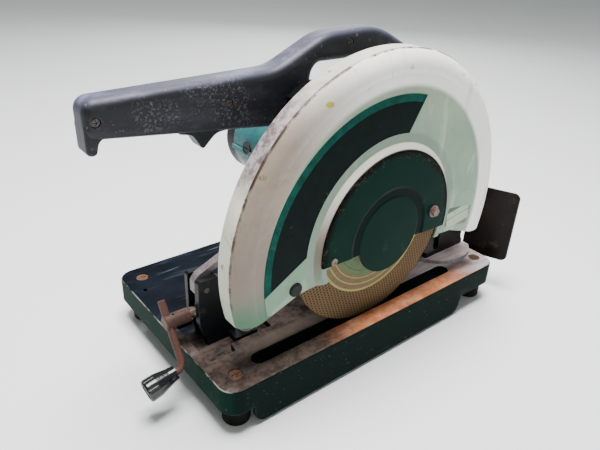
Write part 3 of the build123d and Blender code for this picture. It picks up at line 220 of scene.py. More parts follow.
# Places and sizes on the painted surfaces, in metres. A pair is where a band or a fade starts and ends, and a
# fade may run downwards. MESH_SCALE sets the wheel's weave; CHIP_SQUASH is the chip's width over its height.
MESH_SCALE = 75
OUTER_EDGE = (0.010, 0.004)
CROWN_DEPTH = (0.012, 0.006)
RIDGE_BAND = (-0.098, -0.080)
RUST_LIP = (-0.110, -0.118)
RUST_LENGTH = (-0.035, 0.19)
RIM_RADIUS = (0.166, 0.173)
INNER_RING_RADIUS = (0.121, 0.116)
CONE_BAND = (0.1005, 0.1080)
SEAM_RADIUS = (0.195, 0.200)
CHIP_BAND = (0.174, 0.196)
CHIP_SQUASH = 1.6
CHIP_X, CHIP_Z = WHEEL.x - 0.0995, WHEEL.z + 0.165
CHIP_RADIUS = (0.0085, 0.0070)
LABEL_SHIFT_X, LABEL_SHIFT_Z = 0.003, 0.0074
BORDER_RADIUS = (0.1600, 0.1606)
BORDER_TOP = (-0.0435, -0.0425)
PRINT_END, PRINT_BLUR = 0.0658, 0.0003
COVER_RIM = (0.099, 0.104)
COVER_GROOVE = (0.0475, 0.0585)
COVER_SPECKS = (0.086, 0.100)
PAPER_MIDDLE = (0.0625, 0.0640)
PAPER_RINGS = ((0.0660, 0.0672), (0.0740, 0.0756), (0.0820, 0.0846))
PAPER_LINE = (0.0560, 0.0566)
WEB_BLACK_ABOVE = WHEEL.z + 0.10


# ------------------------------------------------------------------ materials
def base_paint():
    """Dark green skirts and a scuffed slate top, brown near the slot and rusty on the near side; the
    forward-facing skirt is a lighter green as painted light, and the rounded front top edge has rubbed paint
    with a painted highlight.
    """
    s = Shader("base_enamel", roughness=0.6, specular=0.03)
    x, y, z = (s.axis(i) for i in range(3))
    up = s.step(s.axis(2, s.facing), 0.6, 0.9)
    up = s.larger(up, s.step(z, BASE_TOP - 0.0002, BASE_TOP + 0.0004))
    coarse = s.noise(9, detail=6, rough=0.6)
    fine = s.noise(90, detail=5, rough=0.65)
    streak = s.noise(26, detail=8, rough=0.7, stretch=(0.5, 2.2, 1))
    scratch = s.noise(60, detail=3, rough=0.5, stretch=(0.15, 2.4, 1), turn=(0, 0, 0.2))
    green = s.mix(coarse, rgb(0, 12, 10), rgb(6, 28, 23))
    # Painted light: skirt faces that look forward get a lighter green than the other sides.
    lit_front_skirt = s.step(s.axis(0, s.facing), -0.3, -0.8)
    green = s.mix(lit_front_skirt, green, s.mix(coarse, rgb(0, 26, 19), rgb(3, 42, 32)))
    specks = s.step(s.noise(260, detail=2), 0.68, 0.74)
    skirt = s.mix(s.times(specks, 0.5), green, rgb(78, 92, 86))
    scuffs = s.step(s.noise(48, detail=7, rough=0.7, stretch=(0.4, 0.4, 1.6)), 0.60, 0.70)
    skirt = s.mix(s.times(scuffs, 0.25), skirt, rgb(48, 60, 56))
    slate = s.mix(s.step(coarse, 0.35, 0.65), rgb(4, 6, 9), rgb(16, 22, 31))
    worn = s.mix(s.times(s.step(streak, 0.50, 0.66), 0.55), slate, rgb(48, 56, 70))
    worn = s.mix(s.times(s.step(scratch, 0.62, 0.70), 0.35), worn, rgb(116, 126, 142))
    near = s.step(y, 0.0, -0.06)
    brown = s.mix(s.step(fine, 0.32, 0.68), rgb(50, 41, 37), rgb(82, 70, 63))
    brown = s.mix(s.times(s.step(streak, 0.52, 0.70), 0.5), brown, rgb(122, 112, 110))
    top = s.mix(s.times(near, s.step(s.add(coarse, s.times(fine, 0.3)), 0.40, 0.66)), worn, brown)
    polished = s.mix(s.step(streak, 0.4, 0.6), rgb(146, 132, 134), rgb(188, 176, 180))
    top = s.mix(s.times(s.step(x, 0.03, 0.11), s.step(y, 0.05, 0.0)), top, polished)
    ridge = s.times(s.band(y, *RIDGE_BAND, 0.004), s.step(x, -0.19, -0.12))
    top = s.mix(s.times(ridge, 0.6), top, rgb(104, 92, 84))
    lip = s.times(s.step(y, *RUST_LIP), s.band(x, *RUST_LENGTH, 0.045))
    rust = s.mix(s.step(fine, 0.35, 0.68), rgb(180, 108, 72), rgb(212, 144, 106))
    rust = s.mix(s.times(s.step(streak, 0.5, 0.66), 0.35), rust, rgb(206, 172, 152))
    top = s.mix(s.times(lip, s.step(s.noise(22, detail=5), 0.16, 0.34)), top, rust)
    spots = s.times(s.step(s.noise(150, detail=4, rough=0.7), 0.62, 0.70), s.step(coarse, 0.4, 0.6))
    spots = s.times(spots, near)
    top = s.mix(s.times(spots, 0.5), top, rgb(96, 60, 40))
    color = s.mix(up, skirt, top)
    near_side = s.step(y, NEAR + OUTER_EDGE[0], NEAR + OUTER_EDGE[1])
    front_side = s.step(x, FRONT + OUTER_EDGE[0], FRONT + OUTER_EDGE[1])
    outside = s.larger(near_side, front_side)
    wear = s.times(s.edges(0.0024), s.times(outside, s.step(s.noise(38, detail=5), 0.30, 0.52)))
    color = s.mix(s.times(wear, 0.3), color, rgb(120, 114, 106))
    # Light patches on the rounded front top edge: rubbed paint, partly a painted highlight where that edge
    # turns upwards.
    patches = s.step(s.noise(24, detail=6, rough=0.7), 0.44, 0.58)
    crown = s.times(s.band(s.axis(2, s.facing), 0.45, 0.85, 0.1), patches)
    crown_height = s.step(z, BASE_TOP - CROWN_DEPTH[0], BASE_TOP - CROWN_DEPTH[1])
    crown = s.times(crown, s.times(front_side, crown_height))
    color = s.mix(s.times(crown, 0.55), color, rgb(176, 170, 162))
    roughness = s.blend(up, s.blend(coarse, 0.5, 0.66), s.blend(streak, 0.42, 0.7))
    height = s.add(s.times(fine, 0.6), s.times(streak, s.times(up, 0.6)))
    return s.finish(color, roughness, s.bump(height, 0.0006, 0.5))


def guard_paint():
    """Grey-green enamel, worn to cream and brown round the rim, with one yellow chip near the top. Also
    painted light: the face lightens towards the top, the rim and the cone ring are near white on top as a
    painted highlight, and the rim's brown front is partly painted shade.
    """
    s = Shader("guard_enamel", roughness=0.4, specular=0.4)
    x, y, z = (s.axis(i) for i in range(3))
    coarse = s.noise(7, detail=6, rough=0.6)
    fine = s.noise(110, detail=5, rough=0.6)
    streak = s.noise(30, detail=6, rough=0.6, stretch=(1.6, 1, 0.35), turn=(0, 0.6, 0))
    paint = s.mix(s.step(coarse, 0.3, 0.7), rgb(116, 144, 122), rgb(148, 170, 142))
    paint = s.mix(s.times(s.step(fine, 0.55, 0.75), 0.30), paint, rgb(108, 124, 100))
    paint = s.mix(s.times(s.step(streak, 0.60, 0.68), 0.35), paint, rgb(196, 204, 186))
    # Painted light: the face turns a lighter cream towards the top, where the light falls.
    painted_top_light = s.times(s.step(z, WHEEL.z + 0.09, WHEEL.z + 0.21), 0.5)
    paint = s.mix(painted_top_light, paint, s.mix(fine, rgb(150, 146, 130), rgb(176, 172, 156)))
    radius = s.vector("LENGTH", s.stretched((1, 0, 1), shift=(-WHEEL.x, 0, -WHEEL.z)))
    paint = s.mix(s.times(s.step(radius, *INNER_RING_RADIUS), 0.5), paint, rgb(104, 120, 110))
    rim = s.step(radius, *RIM_RADIUS)
    back = s.step(y, SEAM_Y - 0.0006, SEAM_Y + 0.0002)
    front = s.step(x, WHEEL.x - 0.02, WHEEL.x - 0.16)
    low = s.step(z, WHEEL.z + 0.005, WHEEL.z - 0.05)
    # Brown dust on the rim's front side, darkened partly as painted shade; elsewhere the rim is near white as
    # a painted highlight.
    rim_dust_and_shade = s.mix(s.step(coarse, 0.35, 0.65), rgb(100, 80, 62), rgb(142, 120, 100))
    rim_dust_and_shade = s.mix(s.times(s.step(fine, 0.45, 0.7), 0.45), rim_dust_and_shade, rgb(92, 78, 66))
    rim_color = s.mix(s.times(front, 0.9), rgb(250, 247, 240), rim_dust_and_shade)
    rim_color = s.mix(s.times(front, low), rim_color, rgb(60, 104, 76))
    cream = s.mix(s.step(coarse, 0.35, 0.65), rgb(186, 184, 166), rgb(226, 222, 208))
    rubbed = s.step(s.noise(70, detail=8, rough=0.75), 0.42, 0.60)
    scuffed = s.mix(rubbed, rgb(96, 84, 86), rgb(166, 154, 156))
    high = s.band(z, WHEEL.z + 0.095, WHEEL.z + 0.185, 0.02)
    cream = s.mix(s.times(front, high), cream, scuffed)
    cream = s.mix(s.times(front, low), cream, rgb(170, 186, 160))
    color = s.mix(s.larger(rim, back), paint, s.mix(back, rim_color, cream))
    cone = s.band(radius, *CONE_BAND, 0.0008)
    # Cone ring: near white on its upper part as a painted highlight, brown dirt lower down.
    cone_color = s.mix(s.step(z, WHEEL.z + 0.01, WHEEL.z + 0.08), rgb(104, 90, 74), rgb(236, 228, 216))
    cone_share = s.times(s.times(cone, s.step(z, WHEEL.z - 0.05, WHEEL.z)), 0.85)
    color = s.mix(cone_share, color, cone_color)
    seam = s.times(s.band(y, SEAM_Y - 0.0022, SEAM_Y + 0.0008, 0.0006), s.step(radius, *SEAM_RADIUS))
    broken = s.step(s.noise(30, detail=7, rough=0.75), 0.44, 0.58)
    color = s.mix(s.times(seam, broken), color, rgb(58, 44, 34))
    chips = s.times(s.step(s.noise(45, detail=6, rough=0.7), 0.62, 0.67), s.step(radius, *CHIP_BAND))
    color = s.mix(s.times(chips, 0.8), color, rgb(98, 76, 54))
    wear = s.times(s.edges(0.0018), s.step(s.noise(50, detail=5), 0.42, 0.60))
    color = s.mix(s.times(wear, 0.7), color, rgb(104, 84, 64))
    chip_place = s.stretched((1, 0, CHIP_SQUASH), shift=(-CHIP_X, 0, -CHIP_SQUASH * CHIP_Z))
    chip_edge = s.add(s.vector("LENGTH", chip_place), s.times(s.noise(180, detail=3), 0.006))
    chip = s.step(chip_edge, *CHIP_RADIUS)
    color = s.mix(chip, color, s.mix(fine, rgb(146, 132, 44), rgb(186, 172, 84)))
    line = s.noise(3.0, detail=0, stretch=(4.0, 1, 0.45), turn=(0, 0.5, 0), shift=(0.3, 0, 0.2))
    hair = s.times(s.band(line, 0.498, 0.502, 0.0015), s.step(s.noise(16, detail=2), 0.5, 0.6))
    color = s.mix(s.times(hair, 0.4), color, rgb(92, 100, 84))
    runs = s.step(s.noise(20, detail=4, stretch=(2.5, 1, 0.25)), 0.62, 0.74)
    color = s.mix(s.times(runs, 0.25), color, rgb(96, 104, 84))
    roughness = s.blend(s.step(fine, 0.3, 0.8), 0.30, 0.55)
    return s.finish(color, roughness, s.bump(s.add(s.times(fine, 0.4), coarse), 0.0005, 0.35))


def label_plate():
    """Near-black print with a teal border. The plate runs past the print, and that end is guard green."""
    s = Shader("label_plate", roughness=0.45, specular=0.05)
    middle_shift = (LABEL_SHIFT_X - WHEEL.x, 0, LABEL_SHIFT_Z - WHEEL.z)
    outer = s.vector("LENGTH", s.stretched((1, 0, 1), shift=middle_shift))
    from_wheel_x = s.math("SUBTRACT", s.axis(0), WHEEL.x)
    from_wheel_z = s.math("SUBTRACT", s.axis(2), WHEEL.z)
    along = s.math("SUBTRACT", s.times(from_wheel_x, 0.87), s.times(from_wheel_z, 0.49))
    border = s.larger(s.step(outer, *BORDER_RADIUS), s.step(along, *BORDER_TOP))
    dust = s.noise(70, detail=6, rough=0.65)
    field = s.mix(s.step(dust, 0.3, 0.7), rgb(0, 9, 8), rgb(2, 20, 18))
    teal = s.mix(s.step(dust, 0.3, 0.7), rgb(0, 52, 46), rgb(3, 78, 68))
    color = s.mix(border, field, teal)
    smudges = s.step(s.noise(30, detail=6, rough=0.7), 0.62, 0.70)
    color = s.mix(s.times(smudges, 0.3), color, rgb(96, 108, 104))
    rise = s.add(s.times(from_wheel_x, -0.5), s.times(from_wheel_z, 0.866))
    past_print = s.step(rise, PRINT_END + PRINT_BLUR, PRINT_END - PRINT_BLUR)
    color = s.mix(past_print, color, s.mix(dust, rgb(110, 142, 120), rgb(138, 166, 142)))
    return s.finish(color, s.blend(dust, 0.38, 0.55), s.bump(dust, 0.0002, 0.3))


def cover_paint():
    """Dark green pressing, black round its edge and specked with grit."""
    s = Shader("cover_enamel", roughness=0.45, specular=0.03)
    radius = s.vector("LENGTH", s.stretched((1, 0, 1), shift=(-WHEEL.x, 0, -WHEEL.z)))
    coarse = s.noise(14, detail=6, rough=0.6)
    fine = s.noise(120, detail=5, rough=0.6)
    green = s.mix(coarse, rgb(0, 24, 18), rgb(0, 42, 33))
    rim = s.step(s.add(radius, s.times(s.noise(40, detail=4), 0.012)), *COVER_RIM)
    color = s.mix(rim, green, rgb(3, 9, 8))
    groove = s.band(radius, *COVER_GROOVE, 0.0015)
    color = s.mix(s.times(groove, 0.75), color, rgb(2, 11, 11))
    speck = s.times(s.step(s.noise(280, detail=3), 0.60, 0.66), s.step(radius, *COVER_SPECKS))
    color = s.mix(s.times(speck, 0.32), color, rgb(112, 92, 66))
    dust = s.step(s.noise(36, detail=7, rough=0.7), 0.60, 0.74)
    color = s.mix(s.times(dust, 0.22), color, rgb(84, 104, 94))
    wear = s.times(s.edges(0.0009), s.step(fine, 0.4, 0.6))
    color = s.mix(s.times(wear, 0.7), color, rgb(128, 110, 84))
    return s.finish(color, s.blend(fine, 0.34, 0.5), s.bump(fine, 0.0004, 0.3))


def abrasive():
    """Glass-fibre mesh bonded over grit."""
    s = Shader("abrasive_disc", roughness=0.85, specular=0.25)
    turned = s.stretched((1, 1, 1), turn=(0, 0.35, 0))
    warp = s.stripes(MESH_SCALE, "X", source=turned)
    weft = s.stripes(MESH_SCALE, "Z", source=turned)
    grit = s.noise(900, detail=4, rough=0.7)
    tint = s.noise(12, detail=5)
    cloth = s.mix(tint, rgb(88, 68, 46), rgb(124, 98, 68))
    cloth = s.mix(s.times(s.step(grit, 0.55, 0.7), 0.35), cloth, rgb(168, 142, 100))
    hole = s.mix(grit, rgb(16, 12, 9), rgb(44, 33, 23))
    gap = s.times(s.step(warp, 0.62, 0.34), s.step(weft, 0.62, 0.34))
    color = s.mix(s.times(gap, 0.95), cloth, hole)
    side = s.step(s.math("ABSOLUTE", s.axis(1, s.facing)), 0.9, 0.5)
    color = s.mix(side, color, s.mix(grit, rgb(30, 27, 24), rgb(86, 74, 62)))
    height = s.add(s.times(s.inverse(gap), 0.8), s.times(grit, 0.6))
    return s.finish(color, 0.88, s.bump(height, 0.0008, 0.8))


def paper_label():
    """Printed paper disc: fibre mesh showing at its rim, two yellow rings and a pale green middle."""
    s = Shader("paper_disc", roughness=0.6, specular=0.25)
    radius = s.vector("LENGTH", s.stretched((1, 0, 1), shift=(-WHEEL.x, 0, -WHEEL.z)))
    ragged = s.add(radius, s.times(s.math("SUBTRACT", s.noise(60, detail=5), 0.5), 0.008))
    fine = s.noise(260, detail=4)
    green = s.mix(fine, rgb(70, 88, 56), rgb(100, 118, 78))
    tan = s.mix(fine, rgb(92, 76, 52), rgb(122, 102, 72))
    yellow = s.mix(fine, rgb(140, 132, 66), rgb(172, 162, 92))
    color = s.mix(s.step(ragged, *PAPER_MIDDLE), green, tan)
    for inside, outside in PAPER_RINGS:
        color = s.mix(s.band(radius, inside, outside, 0.0004), color, yellow)
    color = s.mix(s.times(s.band(radius, *PAPER_LINE, 0.0002), 0.8), color, rgb(30, 34, 30))
    grime = s.step(s.noise(48, detail=6, rough=0.7), 0.58, 0.68)
    color = s.mix(s.times(grime, 0.5), color, rgb(66, 58, 46))
    return s.finish(color, 0.62, s.bump(fine, 0.0003, 0.4))


def handle_plastic():
    """Black textured plastic: dusty and with a painted sheen on top, speckled with grit on its sides, dark
    green on its front end.
    """
    s = Shader("handle_plastic", roughness=0.5, specular=0.32)
    s.surface.inputs["Sheen Weight"].default_value = 0.16
    s.surface.inputs["Sheen Tint"].default_value = (0.62, 0.62, 0.85, 1)
    pebble = s.cells(1100)
    coarse = s.noise(13, detail=6, rough=0.6)
    scuff = s.noise(34, detail=8, rough=0.7, stretch=(0.5, 1, 1.4))
    up = s.step(s.axis(2, s.facing), 0.35, 0.95)
    color = s.mix(coarse, rgb(4, 5, 8), rgb(12, 13, 19))
    # Painted sheen: upward faces get a lighter blue-grey, standing in for light on the top.
    color = s.mix(s.times(up, 0.22), color, rgb(118, 120, 146))
    dust = s.times(s.step(scuff, 0.48, 0.68), s.blend(up, 0.06, 0.40))
    color = s.mix(dust, color, rgb(138, 138, 166))
    grit = s.step(s.noise(420, detail=4, rough=0.75), 0.52, 0.62)
    patch = s.times(s.step(s.noise(9, detail=3), 0.58, 0.68), grit)
    color = s.mix(s.times(patch, 0.35), color, rgb(122, 120, 130))
    fleck = s.step(s.noise(190, detail=4), 0.65, 0.71)
    color = s.mix(s.times(fleck, 0.4), color, rgb(112, 110, 118))
    wear = s.times(s.edges(0.0015), s.step(s.noise(60, detail=5), 0.45, 0.6))
    color = s.mix(s.times(wear, 0.4), color, rgb(104, 102, 108))
    butt = s.step(s.axis(0, s.facing), -0.75, -0.95)
    color = s.mix(butt, color, rgb(3, 10, 9))
    return s.finish(color, s.blend(scuff, 0.34, 0.60), s.bump(pebble, 0.00025, 0.45))


def moulded(name, low, high, roughness, pebble=900, depth=0.0002, specular=0.2):
    """Plain moulded plastic or rubber with fine texture, dust in it and rubbed edges."""
    s = Shader(name, roughness=roughness, specular=specular)
    coarse = s.noise(40, detail=6, rough=0.6)
    color = s.mix(coarse, low, high)
    dust = s.step(s.noise(120, detail=6, rough=0.7), 0.58, 0.74)
    color = s.mix(s.times(dust, 0.2), color, rgb(84, 84, 84))
    wear = s.times(s.edges(0.0008), s.step(coarse, 0.4, 0.6))
    color = s.mix(s.times(wear, 0.5), color, rgb(120, 116, 112))
    shine = s.blend(coarse, roughness - 0.08, roughness + 0.12)
    return s.finish(color, shine, s.bump(s.cells(pebble), depth, 0.4))


def bare_metal(name, dark, bright, rust, roughness=0.42, metallic=0.9):
    """Bare or plated steel with stains; rust is the share of the surface that has gone brown."""
    s = Shader(name, roughness=roughness, metallic=metallic)
    coarse = s.noise(45, detail=6, rough=0.6)
    fine = s.noise(420, detail=5, rough=0.6)
    color = s.mix(s.step(s.add(s.times(coarse, 0.5), s.times(fine, 0.5)), 0.3, 0.7), dark, bright)
    spot = s.noise(85, detail=8, rough=0.72)
    rusty = s.step(spot, 0.74 - 0.5 * rust, 0.84 - 0.5 * rust)
    brown = s.mix(fine, rgb(74, 44, 30), rgb(140, 92, 64))
    color = s.mix(rusty, color, brown)
    wear = s.times(s.edges(0.0007), s.step(fine, 0.35, 0.6))
    color = s.mix(s.times(wear, 0.6), color, rgb(178, 170, 160))
    shine = s.times(s.inverse(s.times(rusty, 0.9)), metallic)
    return s.finish(color, s.blend(rusty, s.blend(fine, roughness - 0.1, roughness + 0.12), 0.85),
                    s.bump(s.add(s.times(rusty, 0.7), fine), 0.0003, 0.5), shine)


def cast_paint(name, low, high, chip, roughness=0.5, grain=240, black_above=None):
    """Paint on a rough casting, chipped and rubbed along its edges, and black above the height given."""
    s = Shader(name, roughness=roughness, specular=0.15)
    coarse = s.noise(16, detail=6, rough=0.6)
    sand = s.noise(grain, detail=5, rough=0.6)
    color = s.mix(s.step(coarse, 0.3, 0.7), low, high)
    dust = s.step(s.noise(50, detail=8, rough=0.7), 0.54, 0.74)
    color = s.mix(s.times(dust, 0.25), color, rgb(96, 90, 82))
    wear = s.times(s.edges(0.0016), s.step(s.noise(80, detail=6, rough=0.7), 0.42, 0.58))
    color = s.mix(s.times(wear, 0.85), color, chip)
    if black_above is not None:
        color = s.mix(s.step(s.axis(2), black_above - 0.003, black_above + 0.003), color, rgb(6, 7, 8))
    dull = s.blend(dust, roughness - 0.1, roughness + 0.2)
    return s.finish(color, dull, s.bump(sand, 0.0005, 0.45))


def laminated(name, low, high, pitch, metallic=0.8):
    """Stacked sheets seen from outside, varnished."""
    s = Shader(name, roughness=0.4, metallic=metallic)
    sheets = s.stripes(pitch, "Y")
    fine = s.noise(300, detail=5)
    color = s.mix(s.times(sheets, 0.8), low, high)
    color = s.mix(s.times(s.step(fine, 0.5, 0.7), 0.4), color, rgb(96, 58, 34))
    return s.finish(color, s.blend(fine, 0.3, 0.55), s.bump(s.add(sheets, fine), 0.0003, 0.5))


RUSTY_CRANK = bare_metal("rusty_crank", rgb(52, 34, 29), rgb(90, 62, 53), 0.42, roughness=0.6, metallic=0.4)
RUSTY_ROD = bare_metal("rusty_rod", rgb(64, 38, 32), rgb(94, 60, 51), 0.3, roughness=0.65, metallic=0.3)
PIVOT_STEEL = bare_metal("pinkish_bolt", rgb(84, 64, 56), rgb(140, 116, 104), 0.3,
                         roughness=0.5, metallic=0.4)
ZINC = bare_metal("dull_zinc", rgb(116, 112, 104), rgb(170, 166, 156), 0.18, roughness=0.4, metallic=0.85)
DARK_SCREW = bare_metal("dark_screw", rgb(44, 39, 37), rgb(88, 80, 76), 0.08, roughness=0.5, metallic=0.5)
MACHINED = bare_metal("machined_steel", rgb(150, 152, 156), rgb(200, 202, 206), 0.02,
                      roughness=0.28, metallic=0.95)
LEVER = bare_metal("worn_lever", rgb(98, 88, 90), rgb(150, 138, 142), 0.16, roughness=0.5, metallic=0.4)
SCREW_STEEL = bare_metal("vice_thread_steel", rgb(92, 82, 72), rgb(150, 138, 124), 0.25,
                         roughness=0.45, metallic=0.75)
SPRING = bare_metal("spring_steel", rgb(40, 40, 42), rgb(88, 88, 92), 0.1, roughness=0.35, metallic=0.85)
STAINED = bare_metal("stained_screw", rgb(70, 43, 29), rgb(114, 78, 58), 0.4, roughness=0.5, metallic=0.5)
# Dark paint on the hinge casting, taken to near black partly as painted shade for the shade it sits in.
HINGE_CAST = cast_paint("hinge_casting", rgb(10, 9, 8), rgb(30, 28, 24), rgb(92, 84, 74), roughness=0.55)
DARK_CAST = cast_paint("vice_casting", rgb(5, 6, 9), rgb(13, 15, 19), rgb(84, 74, 66), roughness=0.5)
FENCE_CAST = cast_paint("fence_casting", rgb(16, 19, 19), rgb(34, 39, 39), rgb(128, 120, 110),
                        roughness=0.5)
PLATE_PAINT = cast_paint("spark_plate_enamel", rgb(8, 5, 3), rgb(22, 14, 9), rgb(88, 70, 54),
                         roughness=0.42, grain=90)
CASE_PAINT = cast_paint("gear_case_enamel", rgb(58, 84, 84), rgb(84, 116, 116), rgb(150, 146, 136),
                        roughness=0.42)
ARM_PAINT = cast_paint("arm_enamel", rgb(58, 84, 84), rgb(84, 116, 116), rgb(150, 146, 136), roughness=0.42,
                       black_above=WEB_BLACK_ABOVE)
MOTOR_PAINT = cast_paint("motor_enamel", rgb(32, 74, 76), rgb(58, 112, 116), rgb(150, 146, 136),
                         roughness=0.36)
BLACK_PLASTIC = moulded("black_moulding", rgb(14, 14, 15), rgb(30, 30, 32), 0.45)
TRIGGER_PLASTIC = moulded("trigger_moulding", rgb(22, 25, 27), rgb(44, 49, 52), 0.42)
KNOB_PLASTIC = moulded("knob_moulding", rgb(6, 6, 7), rgb(16, 16, 18), 0.16,
                       pebble=400, depth=0.0001, specular=0.6)
RUBBER = moulded("black_rubber", rgb(5, 5, 4), rgb(15, 15, 13), 0.72, specular=0.1)
PLUG_RUBBER = moulded("plug_rubber", rgb(5, 9, 8), rgb(15, 21, 20), 0.55)
COPPER = laminated("commutator_copper", rgb(120, 62, 36), rgb(200, 124, 84), 160, 0.9)
LAMINATION = laminated("motor_lamination", rgb(58, 56, 54), rgb(116, 112, 108), 500)

LOOKS = {
    "base_casting": base_paint(), "rubber_feet": RUBBER, "foot_screws": STAINED, "fence": FENCE_CAST,
    "base_bolts": ZINC, "vice_bracket": DARK_CAST, "vice_bracket_bolts": ZINC, "lever_pin": DARK_SCREW,
    "half_nut_lever": LEVER, "vice_screw": SCREW_STEEL, "crank_hub": RUSTY_CRANK,
    "crank_rod": RUSTY_ROD, "crank_knob": KNOB_PLASTIC, "vice_jaw": DARK_CAST,
    "hinge_bracket": HINGE_CAST, "hinge_pin": ZINC, "return_spring": SPRING, "lock_pin": ZINC,
    "stop_bolt": ZINC, "spark_plate": PLATE_PAINT, "spark_plate_bolts": ZINC, "arm_casting": ARM_PAINT,
    "gear_case_cover": CASE_PAINT, "gear_case_screws": ZINC, "drive_gear": MACHINED, "pinion": MACHINED,
    "spindle": MACHINED, "inner_flange": ZINC, "outer_flange": ZINC, "wheel_bolt": ZINC,
    "cutting_wheel": abrasive(), "wheel_label": paper_label(), "spindle_bearings": MACHINED,
    "armature_bearings": MACHINED, "armature_shaft": MACHINED, "armature_core": LAMINATION,
    "commutator": COPPER, "cooling_fan": BLACK_PLASTIC, "stator": LAMINATION,
    "motor_housing": MOTOR_PAINT, "brush_caps": BLACK_PLASTIC, "motor_end_cap": BLACK_PLASTIC,
    "end_cap_screws": ZINC, "guard_near_shell": guard_paint(), "guard_far_shell": None,
    "guard_bolts": ZINC, "guard_label": label_plate(), "guard_plug": PLUG_RUBBER,
    "centre_cover": cover_paint(), "cover_pivot_bolt": PIVOT_STEEL, "cover_latch_screw": PIVOT_STEEL,
    "trigger": TRIGGER_PLASTIC, "trigger_pin": ZINC, "handle_near_half": handle_plastic(),
    "handle_far_half": None, "handle_screws": DARK_SCREW, "lock_on_button": TRIGGER_PLASTIC,
    "switch_body": BLACK_PLASTIC, "cord_gland": RUBBER, "spindle_lock_button": BLACK_PLASTIC,
}
LOOKS["guard_far_shell"] = LOOKS["guard_near_shell"]
LOOKS["handle_far_half"] = LOOKS["handle_near_half"]

for node_name, look in LOOKS.items():
    mesh = NODES[node_name].data
    mesh.materials.clear()
    mesh.materials.append(look)


# ------------------------------------------------------------------ extra pieces
def piece_from(name, vertices, faces, material, body, sharp=35):
    """A mesh piece in the row frame that rides on a body; edges sharper than the angle stay crisp."""
    mesh = bpy.data.meshes.new(name)
    mesh.from_pydata(vertices, [], faces)
    mesh.validate()
    shape = bmesh.new()
    shape.from_mesh(mesh)
    bmesh.ops.recalc_face_normals(shape, faces=shape.faces)
    shape.to_mesh(mesh)
    shape.free()
    mesh.polygons.foreach_set("use_smooth", [True] * len(mesh.polygons))
    mesh.set_sharp_from_angle(angle=math.radians(sharp))
    mesh.materials.append(material)
    piece = bpy.data.objects.new(name, mesh)
    bpy.context.scene.collection.objects.link(piece)
    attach(piece, body)
    return piece


def skin_rings(rings):
    """Faces of a closed tube through rings of equal length, capped at both ends."""
    around, faces = len(rings[0]), []
    for ring in range(len(rings) - 1):
        for spot in range(around):
            a, b = ring * around + spot, ring * around + (spot + 1) % around
            faces.append((a, b, b + around, a + around))
    faces.append(tuple(reversed(range(around))))
    faces.append(tuple(range((len(rings) - 1) * around, len(rings) * around)))
    return faces


THREAD_LEAD, THREAD_DEPTH = 0.008, 0.0012
THREAD_AROUND, THREAD_STEP, THREAD_RUNOUT = 40, 0.0005, 0.001
FLANK_FROM, FLANK_TO, ROOT_TO = 0.40, 0.52, 0.88
NECK_LENGTH, NECK_RADIUS = 0.0145, 0.0045
GROOVE_FROM, GROOVE_TO, GROOVE_RADIUS = 0.010, 0.007, 0.005


def thread_depth(turns):
    """Share of the thread's depth cut away at this point of its profile."""
    phase = turns % 1.0
    if phase < FLANK_FROM:
        return 0.0
    if phase < FLANK_TO:
        return (phase - FLANK_FROM) / (FLANK_TO - FLANK_FROM)
    return 1.0 if phase < ROOT_TO else (1.0 - phase) / (1.0 - ROOT_TO)


def vice_thread():
    """The vice screw with its coarse trapezoidal thread."""
    low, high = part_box("vice_screw")
    centre, crest = (low + high) / 2, (high.z - low.z) / 2
    start, end, around = low.x + NECK_LENGTH, high.x, THREAD_AROUND
    last = end - THREAD_RUNOUT
    stations = [(low.x, NECK_RADIUS, False), (start, NECK_RADIUS, False)]
    stations.append((start, crest - THREAD_DEPTH, False))
    count = round((last - start) / THREAD_STEP)
    for index in range(count + 1):
        x = start + (last - start) * index / count
        if end - GROOVE_FROM < x < end - GROOVE_TO:
            stations.append((x, GROOVE_RADIUS, False))
        else:
            stations.append((x, crest, x < end - GROOVE_FROM - THREAD_RUNOUT))
    stations.append((end, crest - THREAD_RUNOUT, False))
    vertices, rings = [], []
    for x, radius, threaded in stations:
        ring = []
        for spot in range(around):
            angle = 2 * math.pi * spot / around
            cut = THREAD_DEPTH * thread_depth((x - start) / THREAD_LEAD - spot / around) if threaded else 0.0
            reach = radius - cut
            ring.append((x, centre.y + reach * math.cos(angle), centre.z + reach * math.sin(angle)))
        rings.append(ring)
        vertices += ring
    piece = piece_from("vice_thread", vertices, skin_rings(rings), SCREW_STEEL, "vice_screw", 28)
    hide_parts("vice_screw")


STICKER_X, STICKER_Z = WHEEL.x + 0.137, WHEEL.z - 0.017
STICKER_TILT = math.radians(-8.5)
STICKER_HALF = (0.0235, 0.0130)
STICKER_CORNER = 0.003
STICKER_THICK = 0.0003
STICKER_FRAME_HALF = (0.0220, 0.0115)
STICKER_FRAME_BLUR = 0.0002
STICKER_RULE = (0.0020, 0.0030)


